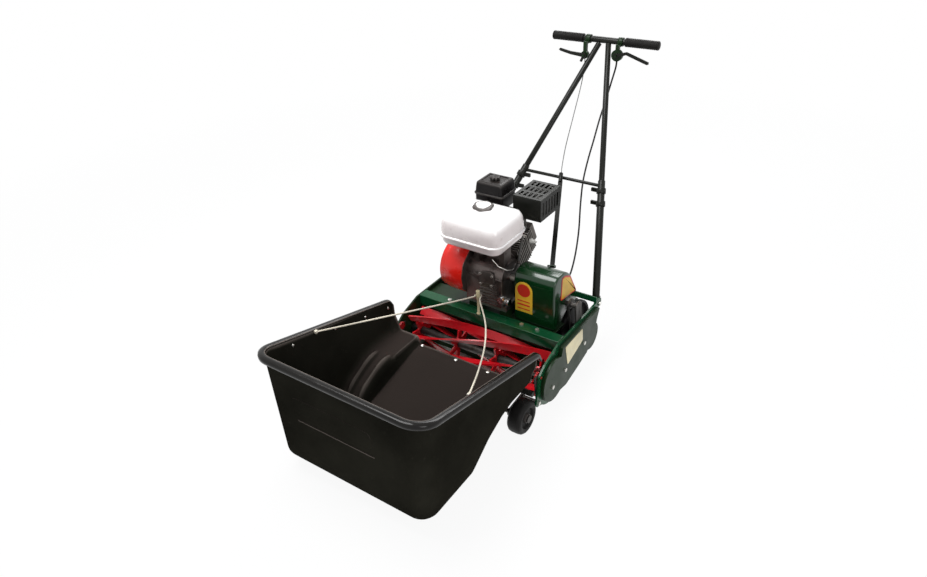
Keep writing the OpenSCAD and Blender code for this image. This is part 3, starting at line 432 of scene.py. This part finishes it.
def shrunk(points, by):
    """The 2D outline, anticlockwise, drawn in by a small distance."""
    count = len(points)
    out = []
    for k in range(count):
        ahead = points[(k + 1) % count] - points[k - 1]
        if ahead.length < 1e-9:
            out.append(points[k])
            continue
        inward = Vector((-ahead.y, ahead.x)).normalized()
        out.append(points[k] + inward * by)
    return out


def slab(bm, outline, place, near, far, edge):
    """A plate of the 2D outline between two depths, with its edges rounded; place makes points 3D."""
    turned = sum(a.x * b.y - b.x * a.y for a, b in zip(outline, outline[1:] + outline[:1]))
    if turned < 0:
        outline = outline[::-1]
    steps = 4
    rounds = []
    for k in range(steps, -1, -1):
        turn = math.radians(90 * k / steps)
        rounds.append((near + edge * (1 - math.sin(turn)), edge * (1 - math.cos(turn))))
    rounds += [(near + far - depth, inset) for depth, inset in rounds[::-1]]
    skin(bm, [[place(p, depth) for p in shrunk(outline, inset)] for depth, inset in rounds])


def oblong(x0, x1, z0, z1):
    return [Vector(p) for p in ((x0, z0), (x1, z0), (x1, z1), (x0, z1))]


def across(p, x):
    """A point of a side view, at depth x."""
    return Vector((x, p[0], p[1]))


def facing_front(p, y):
    """A point of a front view, at depth y."""
    return Vector((p[0], y, p[1]))


def mixed(a, b, t):
    return a + (b - a) * t


def along(points, value):
    """Height of the broken line through points, given as (place, height), at value."""
    if value <= points[0][0]:
        return points[0][1]
    for (x0, z0), (x1, z1) in zip(points, points[1:]):
        if value <= x1:
            return mixed(z0, z1, (value - x0) / (x1 - x0))
    return points[-1][1]


def eased(low, high, value):
    """0 below low, 1 above high and a smooth rise between them."""
    t = min(1.0, max(0.0, (value - low) / (high - low)))
    return t * t * (3 - 2 * t)


# ---- Grass catcher ----

LIP = 0.015
WALL = 0.004
FOOT_ROUND = 0.030
CATCHER_LOW, CATCHER_HIGH = (Vector(p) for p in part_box("grass_catcher"))
REAR_Y = CATCHER_HIGH.y
FRONT_Y = CATCHER_LOW.y + LIP
TOP_HALF = CATCHER_HIGH.x - LIP
FOOT_HALF = 0.253
REAR_RIM = 0.254
CORNER = 0.050
FLOOR_Z = CATCHER_LOW.z
FOOT_Z = 0.024
RAMP_HALF = 0.165
RAMP_FRONT, RAMP_REAR = -0.52, -0.23
LIP_TOP = 0.1143
NOTCH_X, NOTCH_Y = 0.243, -0.222


def rim_z(y):
    """Height of the rim, which falls to the rear, with its rear corner rounded."""
    z = mixed(CATCHER_HIGH.z, REAR_RIM, (y - CATCHER_LOW.y) / (REAR_Y - CATCHER_LOW.y))
    turn = 0.020
    over = max(0.0, y - (REAR_Y - turn))
    return z - (turn - math.sqrt(turn * turn - over * over))


def catcher_half(z):
    return mixed(FOOT_HALF, TOP_HALF, (z - FOOT_Z) / 0.372)


def catcher_floor(x, y):
    """Height of the tub's underside: the ramp in the middle and a ribbed arch over each wheel."""
    arch = along([(RAMP_FRONT, FLOOR_Z), (-0.443, 0.100), (-0.376, 0.130), (-0.322, 0.142)], y)
    ramp = along([(RAMP_FRONT, FLOOR_Z), (RAMP_REAR, LIP_TOP)], y)
    outward = eased(RAMP_HALF - 0.004, RAMP_HALF + 0.006, abs(x))
    rib = 0.0
    for middle in (0.180, 0.222):
        rib += math.exp(-(((abs(x) - middle) / 0.007) ** 2))
    rib *= 0.017 * eased(-0.500, -0.455, y) * (1 - eased(-0.36, -0.30, y))
    notch = 0.030 * eased(NOTCH_Y - 0.004, NOTCH_Y + 0.004, y)
    notch *= eased(NOTCH_X - 0.003, NOTCH_X + 0.003, abs(x))
    return mixed(ramp, arch, outward) + rib + notch


def catcher_wall(x, y, share):
    """Height on the tub's wall: at the rim for share 0, above the rounded foot for share 1."""
    return mixed(rim_z(y), min(rim_z(y), catcher_floor(x, y) + FOOT_ROUND), share)


def u_ring(inset, height):
    """A U of points round the tub, inset from its outer skin; height(x, y) is each point's height."""
    corner = max(CORNER - inset, 0.004)
    points = []
    sides = 44
    turns = 9
    fronts = 16
    half = FOOT_HALF - inset
    front = FRONT_Y + inset
    for k in range(sides):
        points.append((-half, mixed(REAR_Y, front + corner, k / sides)))
    for k in range(turns):
        turn = math.radians(180 + 90 * k / turns)
        dx, dy = corner * math.cos(turn), corner * math.sin(turn)
        points.append((-half + corner + dx, front + corner + dy))
    for k in range(fronts + 1):
        points.append((mixed(-half + corner, half - corner, k / fronts), front))
    for k in range(1, turns + 1):
        turn = math.radians(270 + 90 * k / turns)
        dx, dy = corner * math.cos(turn), corner * math.sin(turn)
        points.append((half - corner + dx, front + corner + dy))
    for k in range(1, sides + 1):
        points.append((half, mixed(front + corner, REAR_Y, k / sides)))
    ring = []
    for x, y in points:
        z = height(x, y)
        spread = catcher_half(z) / FOOT_HALF if inset < CORNER else 1.0
        ring.append(Vector((x * spread, y, z)))
    return ring


def make_catcher():
    bm = bmesh.new()
    rings = []
    for share in (0.0, 0.06, 0.2, 0.4, 0.6, 0.8, 0.92, 1.0):
        rings.append(u_ring(0.0, lambda x, y, s=share: catcher_wall(x, y, s)))
    for k in range(1, 7):
        turn = math.radians(90 * k / 6)
        lift = FOOT_ROUND * (1 - math.sin(turn))
        inset = FOOT_ROUND * (1 - math.cos(turn))
        rings.append(u_ring(inset, lambda x, y, up=lift: catcher_floor(x, y) + up))
    inset = FOOT_ROUND
    while inset < FOOT_HALF - 0.004:
        inset += 0.004 if inset < 0.110 else 0.018
        rings.append(u_ring(min(inset, FOOT_HALF - 0.004), catcher_floor))
    rings.append([Vector((0, p.y, p.z)) for p in rings[-1]])
    skin(bm, rings, closed=False, start_cap=False, end_cap=False)
    tub = add("catcher_tub", bm, "catcher", "catcher", ["grass_catcher"], 60)
    wall = tub.modifiers.new("wall", "SOLIDIFY")
    wall.thickness = WALL
    wall.offset = -1.0
    return tub


def make_lip():
    """The rolled lip, swept round the rim."""
    bm = bmesh.new()
    profile = [
        (-0.0042, -0.012), (-0.0042, -0.002), (-0.002, 0.0006), (0.004, 0.0014), (0.010, 0.0008),
        (0.0142, -0.0015), (0.0156, -0.006), (0.0152, -0.0125), (0.0125, -0.0158), (0.009, -0.0150),
        (0.0075, -0.0125), (0.0005, -0.0125),
    ]
    path = u_ring(0.0, lambda x, y: rim_z(y))
    rings = []
    for k, p in enumerate(path):
        ahead = (path[min(k + 1, len(path) - 1)] - path[max(k - 1, 0)]).normalized()
        out = Vector((ahead.y, -ahead.x, 0)).normalized()
        if out.dot(Vector((p.x, p.y + 0.4, 0))) < 0:
            out = -out
        rings.append([p + out * o + Vector((0, 0, 1)) * u for o, u in profile])
    skin(bm, rings)
    add("catcher_lip", bm, "catcher_rim", "catcher", smooth=50)


def rivet(bm, at, way, radius):
    """A domed rivet head."""
    lathe(bm, at, way, [(0, radius), (radius * 0.35, radius * 0.9), (radius * 0.6, radius * 0.45)], 16)


def make_catcher_trim():
    bm = bmesh.new()
    for y in (-0.607, -0.450, -0.325, -0.222):
        for side in (-1, 1):
            z = rim_z(y) - 0.024
            half = catcher_half(z)
            rivet(bm, (side * (half - WALL), y, z), (-side, 0, 0), 0.0045)
            rivet(bm, (side * half, y, z), (side, 0, 0), 0.0045)
    for x, y in ((-0.150, -0.200), (-0.016, -0.206), (0.100, -0.206)):
        rivet(bm, (x, y, LIP_TOP + WALL), (0, 0, 1), 0.0060)
    add("catcher_rivets", bm, "steel", "catcher")
    bm = bmesh.new()
    line = filleted(oblong(-0.150, 0.110, 0.214, 0.218), 0.002)
    slab(bm, line, facing_front, FRONT_Y - 0.0016, FRONT_Y + 0.002, 0.0008)
    panel = filleted(oblong(-0.160, 0.105, 0.238, 0.292), 0.02)
    slab(bm, panel, facing_front, FRONT_Y - 0.0010, FRONT_Y + 0.002, 0.0006)
    add("catcher_emboss", bm, "catcher", "catcher")


# ---- Engine ----


LOWER_HALF = 0.029  # depth of the tank under its seam
PLATE_X, PLATE_FOOT, PLATE_TOP, PLATE_R = 0.108, 0.222, 0.300, 0.030  # the belt cover's front plate


def make_tank():
    low, high = (Vector(p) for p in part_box("fuel_tank"))
    centre = ((low.x + high.x) / 2, (low.y + high.y) / 2)
    half = ((high.x - low.x) / 2, (high.y - low.y) / 2)
    seam = low.z + LOWER_HALF
    bm = bmesh.new()
    boxy(
        bm, centre, half, 0.038,
        [
            (0.026, low.z), (0.012, low.z + 0.002), (0.008, low.z + 0.008), (0.006, seam - 0.006),
            (0.0055, seam - 0.003), (0.0005, seam - 0.0025), (0, seam - 0.001), (0, seam + 0.0015),
            (0.001, seam + 0.003), (0.0045, seam + 0.004), (0.004, seam + 0.010), (0.005, seam + 0.026),
            (0.007, high.z - 0.022), (0.010, high.z - 0.014), (0.015, high.z - 0.0065),
            (0.022, high.z - 0.0022), (0.031, high.z - 0.0005), (0.036, high.z - 0.0007),
            (0.0375, high.z), (0.041, high.z), (0.043, high.z - 0.0010), (0.060, high.z - 0.0010),
        ],
    )
    add("tank_shell", bm, "tank", "chassis", ["fuel_tank"], 50)


def make_caps():
    low, high = (Vector(p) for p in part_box("fuel_cap"))
    centre = ((low.x + high.x) / 2, (low.y + high.y) / 2, low.z)
    r = (high.x - low.x) / 2
    skirt = [(0.0005, 0.86), (0.003, 0.93), (0.009, 0.93), (0.0115, 0.88), (0.0122, 0.76)]
    disc = [(0.011, 0.70), (0.0140, 0.66), (0.0150, 0.56)]
    bm = bmesh.new()
    lathe(bm, centre, (0, 0, 1), [(z, r * share) for z, share in skirt], 96, 6, 0.055)
    add("cap_shell", bm, "cap_metal", "fuel_cap", ["fuel_cap"])
    bm = bmesh.new()
    lathe(bm, centre, (0, 0, 1), [(z, r * share) for z, share in disc], 72, 3, 0.07)
    add("cap_top_disc", bm, "cap_top", "fuel_cap")


def make_air_cleaner():
    low, high = (Vector(p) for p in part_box("air_cleaner"))
    centre = ((low.x + high.x) / 2, (low.y + high.y) / 2)
    half = ((high.x - low.x) / 2, (high.y - low.y) / 2)
    bm = bmesh.new()
    boxy(
        bm, centre, half, 0.014,
        [
            (0.005, low.z), (0.004, low.z + 0.003), (0.004, low.z + 0.036), (0.0042, low.z + 0.041),
            (0.0005, low.z + 0.042), (0, low.z + 0.0435), (0, low.z + 0.0455), (0.001, low.z + 0.047),
            (0.0035, low.z + 0.048), (0.0045, low.z + 0.058), (0.007, high.z - 0.008),
            (0.009, high.z - 0.003), (0.012, high.z - 0.0008), (0.015, high.z), (0.019, high.z),
            (0.0205, high.z - 0.0022), (0.030, high.z - 0.0022),
        ],
    )
    add("cleaner_shell", bm, "black_plastic", "chassis", ["air_cleaner"])
    low, high = (Vector(p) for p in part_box("air_cleaner_knob"))
    centre = ((low.x + high.x) / 2, (low.y + high.y) / 2, high.z - 0.010)
    profile = [
        (0, 0.0145), (0.002, 0.0158), (0.007, 0.0158), (0.0092, 0.0145), (0.010, 0.011), (0.0094, 0.008),
    ]
    body = "air_cleaner_knob"
    bm = bmesh.new()
    lathe(bm, centre, (0, 0, 1), profile, 96, 8, 0.07)
    add("cleaner_knob_shell", bm, "black_plastic", body, [body])


def tube(bm, points, radius, steps=10):
    """A round bar bent through the points."""
    rings = []
    for k, p in enumerate(points):
        ahead = points[min(k + 1, len(points) - 1)] - points[max(k - 1, 0)]
        ahead.normalize()
        side = ahead.cross(Vector((0.3, 0.2, 1))).normalized()
        other = ahead.cross(side)
        turns = [2 * math.pi * i / steps for i in range(steps)]
        rings.append([p + radius * (math.cos(t) * side + math.sin(t) * other) for t in turns])
    skin(bm, rings)


def make_engine_trim():
    """The fan housing's bright flange, the crankcase's cover, its bolts and the governor's rods."""
    bm = bmesh.new()
    ring = [
        (-61, 313), (-52, 270), (-20, 236), (24, 226), (62, 240), (158, 286), (150, 358), (94, 430),
        (-8, 389), (-48, 358),
    ]
    slab(bm, filleted([mm(*p) for p in ring], 0.008), across, -0.0895, -0.0835, 0.001)
    add("fan_flange", bm, "alloy", "chassis")
    bm = bmesh.new()
    cover = [(-30, 296), (-36, 310), (-30, 344), (4, 352), (18, 344), (22, 316), (14, 300)]
    slab(bm, filleted([mm(*p) for p in cover], 0.008), facing_front, -0.0372, -0.030, 0.0015)
    for x, z in ((-28, 302), (-28, 338), (14, 338), (12, 304)):
        lathe(bm, mm(x, -37, z), (0, -1, 0), [(0, 0.0045), (0.003, 0.0045), (0.0036, 0.003)], 6)
    add("crankcase_cover", bm, "alloy", "chassis")
    bm = bmesh.new()
    foot_bolt = [(0, 0.007), (0.005, 0.007), (0.0056, 0.005)]
    for x, y in ((-68, 0), (-68, 40), (38, 0), (38, 40)):
        lathe(bm, mm(x, y, 229.6), (0, 0, 1), foot_bolt, 6)
    link = ((46, 62, 352), (46, 76, 380), (40, 96, 412), (6, 118, 426), (-30, 130, 430))
    spring = ((48, 44, 338), (52, 20, 344), (50, -8, 356), (30, -24, 372), (10, -26, 392))
    for route in (link, spring):
        tube(bm, [mm(*p) for p in route], 0.0013)
    add("governor_rods", bm, "steel", "chassis")


# ---- Covers and plates ----


def add_rod_guide(bm):
    """The loop that the clutch rod slides in and its stay to the belt cover."""
    rod_low, rod_high = mm(120, 152, 300), mm(5, 420, 490)
    ahead = (rod_high - rod_low).normalized()
    sideways = Vector((-ahead.y, ahead.x, 0)).normalized()
    over = sideways.cross(ahead)
    corners = ((-5.5, -10.5), (5.5, -10.5), (5.5, 13.5), (-5.5, 13.5), (-5.5, -10.5))
    middle = rod_low + 0.008 * ahead
    tube(bm, [middle + over * (x / 1000) + sideways * (y / 1000) for x, y in corners], 0.0022)
    tube(bm, [mm(106, 153, 305), mm(106, 125, 289)], 0.004)


def make_belt_cover():
    left, right = 0.072, 0.212
    outline = [
        (-5, 182), (-5, 330), (2, 350), (18, 362), (55, 362), (78, 354), (100, 336), (148, 252),
        (148, 216), (90, 214), (60, 200), (50, 182),
    ]
    bm = bmesh.new()
    slab(bm, filleted([mm(*p) for p in outline], 0.012), across, left, right, 0.006)
    gland = [(0, 0.0085), (0.004, 0.0085), (0.0045, 0.007), (0.010, 0.0065)]
    lathe(bm, mm(150, 147, 238), (0, 1, 0), gland, 24)
    add_rod_guide(bm)
    add("belt_cover_shell", bm, "cover_green", "chassis", ["belt_cover"])


def make_plates():
    yellow = bmesh.new()
    arch = [(PLATE_X - PLATE_R, PLATE_FOOT), (PLATE_X + PLATE_R, PLATE_FOOT)]
    for degrees in range(0, 181, 12):
        turn = math.radians(degrees)
        arch.append((PLATE_X + PLATE_R * math.cos(turn), PLATE_TOP + PLATE_R * math.sin(turn)))
    slab(yellow, [Vector(p) for p in arch], facing_front, -0.0062, -0.0048, 0.0004)
    add("front_plate", yellow, "yellow", "chassis", ["cover_plates"])
    dot = bmesh.new()
    lathe(dot, (PLATE_X, -0.0060, PLATE_TOP), (0, -1, 0), [(0, 0.023), (0.0005, 0.0225)], 40)
    for z, tall in ((0.232, 0.004), (0.246, 0.006), (0.260, 0.004)):
        bar = oblong(PLATE_X - 0.022, PLATE_X + 0.022, z, z + tall)
        slab(dot, filleted(bar, 0.001), facing_front, -0.0066, -0.0058, 0.0002)
    add("front_plate_print", dot, "red_dot", "chassis")
    side = [mm(*p) for p in ((42, 350), (62, 350), (97, 332), (142, 256), (36, 272))]
    border = bmesh.new()
    slab(border, filleted(side, 0.008), across, 0.2118, 0.2130, 0.0004)
    add("side_plate_border", border, "red_dot", "chassis")
    inner = bmesh.new()
    slab(inner, shrunk(filleted(side[::-1], 0.008), 0.005), across, 0.2124, 0.2134, 0.0003)
    add("side_plate_face", inner, "yellow", "chassis")
    cover_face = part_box("chain_cover")[1][0]
    cream = bmesh.new()
    face = [mm(*p) for p in ((-50, 178), (63, 178), (68, 132), (-32, 102))]
    slab(cream, filleted(face, 0.006), across, cover_face - 0.0002, cover_face + 0.0011, 0.0004)
    add("chain_plate", cream, "cream", "chassis")


# ---- Wheels and grips ----


def make_wheels():
    for name in ("front_wheel_left", "front_wheel_right"):
        low, high = (Vector(p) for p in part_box(name))
        centre = (low + high) / 2
        half = (high.x - low.x) / 2
        r = (high.z - low.z) / 2
        bm = bmesh.new()
        outer = [
            (-half * 0.6, 0.016), (-half * 0.62, 0.030), (-half * 0.9, 0.033), (-half, r - 0.014),
            (-half * 0.93, r - 0.006), (-half * 0.72, r - 0.0015), (-half * 0.4, r),
        ]
        profile = outer + [(-a, b) for a, b in outer[::-1]]
        lathe(bm, centre, (1, 0, 0), profile, 64)
        add(name + "_tyre", bm, "rubber", name, [name])
        bm = bmesh.new()
        hub = [
            (-half * 0.98, 0.009), (-half * 0.96, 0.0135), (-half * 0.6, 0.015), (half * 0.6, 0.015),
            (half * 0.96, 0.0135), (half * 0.98, 0.009),
        ]
        lathe(bm, centre, (1, 0, 0), hub, 32)
        add(name + "_hub", bm, "black_plastic", name)


def make_grips():
    low, high = (Vector(p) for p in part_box("hand_grips"))
    y, z = (low.y + high.y) / 2, (low.z + high.z) / 2
    r = (high.z - low.z) / 2
    length = 0.118
    bm = bmesh.new()
    for side in (-1, 1):
        profile = [(0, r * 0.78), (0.0012, r * 0.97), (0.006, r), (0.0085, r * 0.97)]
        at = 0.011
        while at < length - 0.010:
            groove, ridge = r * 0.93, r * 0.985
            profile += [(at, groove), (at + 0.0015, ridge), (at + 0.0035, ridge), (at + 0.005, groove)]
            at += 0.0064
        profile += [(length - 0.006, r), (length - 0.002, r * 0.95), (length, r * 0.7)]
        lathe(bm, (side * (high.x - length), y, z), (side, 0, 0), profile, 40)
    add("grip_sleeves", bm, "grip", "chassis", ["hand_grips"], 30)


# ---- Cords ----


def smooth_route(points, steps):
    """A smooth curve through a route's points, steps to each stretch."""
    out = []
    for i in range(len(points) - 1):
        a, b = points[max(i - 1, 0)], points[i]
        c, d = points[i + 1], points[min(i + 2, len(points) - 1)]
        for k in range(steps):
            t = k / steps
            out.append(
                0.5
                * (
                    2 * b
                    + (c - a) * t
                    + (2 * a - 5 * b + 4 * c - d) * t * t
                    + (3 * b - a - 3 * c + d) * t * t * t
                )
            )
    return out + [points[-1]]


def make_cord(name, route, diameter, material, body, stands_for=()):
    points = smooth_route([mm(*p) for p in route], 8)
    data = bpy.data.curves.new(name, "CURVE")
    data.dimensions = "3D"
    data.bevel_depth = diameter / 2
    data.bevel_resolution = 4
    data.use_fill_caps = True
    spline = data.splines.new("POLY")
    spline.points.add(len(points) - 1)
    for point, at in zip(spline.points, points):
        point.co = (*at, 1.0)
    data.materials.append(MATERIALS[material])
    piece = bpy.data.objects.new(name, data)
    bpy.context.scene.collection.objects.link(piece)
    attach(piece, body)
    if stands_for:
        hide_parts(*stands_for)
    return piece


CLUTCH_CABLE = [
    (4, 423, 492), (0, 433, 499), (-8, 454, 518), (-20, 500, 568), (-30, 570, 650), (-42, 650, 745),
    (-55, 692, 797), (-58, 698, 808.4),
]
THROTTLE_CABLE = [
    (60, 698, 812), (58, 697, 790), (48, 694, 745), (38, 680, 685), (32, 650, 625), (36, 600, 563),
    (41, 550, 508), (50, 500, 450), (68, 450, 388), (92, 395, 318), (114, 330, 262), (138, 250, 238),
    (149, 190, 236), (150, 158, 238),
]
ROPE = [
    (-256, -524, 334), (-180, -363, 308), (-90, -183, 282), (-40, -72, 265), (-38, -56, 264),
    (-33, -47, 264), (-27, -44.5, 264), (-21, -47, 264), (-17, -56, 264), (-8, -74, 261),
    (60, -150, 250), (122, -250, 252), (192, -390, 284), (256, -524, 334),
]


def make_cords():
    make_cord(
        "clutch_cable", CLUTCH_CABLE, 0.003, "thin_cable", "chassis",
        ["control_cables"],
    )
    make_cord(
        "throttle_cable", THROTTLE_CABLE, 0.006, "cable", "chassis"
    )
    make_cord(
        "rope_line", ROPE, 0.005, "rope", "catcher", ["catcher_rope"]
    )
    knot = [(-0.005, 0.002), (-0.0035, 0.005), (0, 0.0062), (0.0035, 0.005), (0.005, 0.002)]
    bm = bmesh.new()
    for end in (ROPE[0], ROPE[-1]):
        lathe(bm, mm(*end), (1, 0, 0), knot, 16, 4, 0.12)
    add("rope_knots", bm, "rope", "catcher")


# ---- Camera, light and floor ----


def place_camera():
    pitch = math.radians(32.28)
    azimuth = math.radians(35.81)
    roll = math.radians(3.04)
    ahead = Vector(
        (
            -math.sin(azimuth) * math.cos(pitch),
            math.cos(azimuth) * math.cos(pitch),
            -math.sin(pitch),
        )
    )
    level = Vector((math.cos(azimuth), math.sin(azimuth), 0))
    upright = level.cross(ahead)
    right = math.cos(roll) * level - math.sin(roll) * upright
    up = math.sin(roll) * level + math.cos(roll) * upright
    data = bpy.data.cameras.new("camera")
    data.lens = 28.18
    data.sensor_width = 36.0
    data.clip_start = 0.05
    data.clip_end = 50.0
    camera = bpy.data.objects.new("camera", data)
    bpy.context.scene.collection.objects.link(camera)
    turn = Matrix((right, up, -ahead)).transposed()
    camera.matrix_world = Matrix.Translation((1.0477, -1.6206, 1.4942)) @ turn.to_4x4()
    bpy.context.scene.camera = camera


def area_light(name, at, aim, size, power, colour=(1, 1, 1)):
    data = bpy.data.lights.new(name, "AREA")
    data.shape = "RECTANGLE"
    data.size, data.size_y = size
    data.energy = power
    data.color = colour
    lamp = bpy.data.objects.new(name, data)
    bpy.context.scene.collection.objects.link(lamp)
    lamp.location = at
    lamp.rotation_euler = (Vector(aim) - Vector(at)).to_track_quat("-Z", "Y").to_euler()


def sight_rays(tree):
    """1 for the rays that the camera sees by, straight, through glass or mirrored, else 0."""
    path = tree.nodes.new("ShaderNodeLightPath")
    output = path.outputs["Is Camera Ray"]
    for kind in ("Is Transmission Ray", "Is Glossy Ray"):
        either = tree.nodes.new("ShaderNodeMath")
        either.operation = "MAXIMUM"
        tree.links.new(output, either.inputs[0])
        tree.links.new(path.outputs[kind], either.inputs[1])
        output = either.outputs[0]
    return output


def light_scene():
    centre = (0.0, 0.0, 0.3)
    area_light("key", (-0.7, -0.5, 2.9), centre, (1.5, 1.5), 74)
    area_light("side", (2.3, -1.4, 1.5), centre, (0.9, 1.4), 20)
    area_light("back", (-0.4, 2.4, 2.2), centre, (2.0, 0.8), 34)
    world = bpy.data.worlds.new("studio")
    bpy.context.scene.world = world
    world.use_nodes = True
    tree = world.node_tree
    tree.nodes.clear()
    seen = tree.nodes.new("ShaderNodeBackground")
    seen.inputs["Color"].default_value = (1, 1, 1, 1)
    fill = tree.nodes.new("ShaderNodeBackground")
    fill.inputs["Color"].default_value = (0.82, 0.84, 0.88, 1)
    fill.inputs["Strength"].default_value = 0.42
    blend = tree.nodes.new("ShaderNodeMixShader")
    out = tree.nodes.new("ShaderNodeOutputWorld")
    tree.links.new(sight_rays(tree), blend.inputs["Fac"])
    tree.links.new(fill.outputs[0], blend.inputs[1])
    tree.links.new(seen.outputs[0], blend.inputs[2])
    tree.links.new(blend.outputs[0], out.inputs["Surface"])
    bpy.context.scene.view_settings.view_transform = "Standard"


def lay_floor():
    """A white floor that shows the mower's shadow faintly and runs out into the white background."""
    mesh = bpy.data.meshes.new("floor")
    reach = 9.0
    low = -0.0005
    corners = [(-reach, -reach, low), (reach, -reach, low), (reach, reach, low), (-reach, reach, low)]
    mesh.from_pydata(corners, [], [(0, 1, 2, 3)])
    floor = bpy.data.objects.new("floor", mesh)
    bpy.context.scene.collection.objects.link(floor)
    material = bpy.data.materials.new("white_floor")
    material.use_nodes = True
    tree = material.node_tree
    bsdf = tree.nodes["Principled BSDF"]
    bsdf.inputs["Base Color"].default_value = (0.9, 0.9, 0.9, 1)
    bsdf.inputs["Roughness"].default_value = 0.9
    glow = tree.nodes.new("ShaderNodeEmission")
    share = tree.nodes.new("ShaderNodeMath")
    share.operation = "MULTIPLY"
    place = tree.nodes.new("ShaderNodeNewGeometry")
    away = tree.nodes.new("ShaderNodeVectorMath")
    away.operation = "LENGTH"
    fade = tree.nodes.new("ShaderNodeMapRange")
    fade.inputs["From Min"].default_value = 1.4
    fade.inputs["From Max"].default_value = 3.2
    fade.inputs["To Min"].default_value = 0.92
    tree.links.new(place.outputs["Position"], away.inputs[0])
    tree.links.new(away.outputs["Value"], fade.inputs["Value"])
    tree.links.new(fade.outputs["Result"], share.inputs[1])
    blend = tree.nodes.new("ShaderNodeMixShader")
    tree.links.new(sight_rays(tree), share.inputs[0])
    tree.links.new(share.outputs[0], blend.inputs["Fac"])
    tree.links.new(bsdf.outputs[0], blend.inputs[1])
    tree.links.new(glow.outputs[0], blend.inputs[2])
    tree.links.new(blend.outputs[0], tree.nodes["Material Output"].inputs["Surface"])
    mesh.materials.append(material)


place_camera()
make_cords()
light_scene()
lay_floor()
make_catcher()
make_lip()
make_catcher_trim()
make_tank()
make_caps()
make_air_cleaner()
make_engine_trim()
make_belt_cover()
make_plates()
make_wheels()
make_grips()
dress_cad()
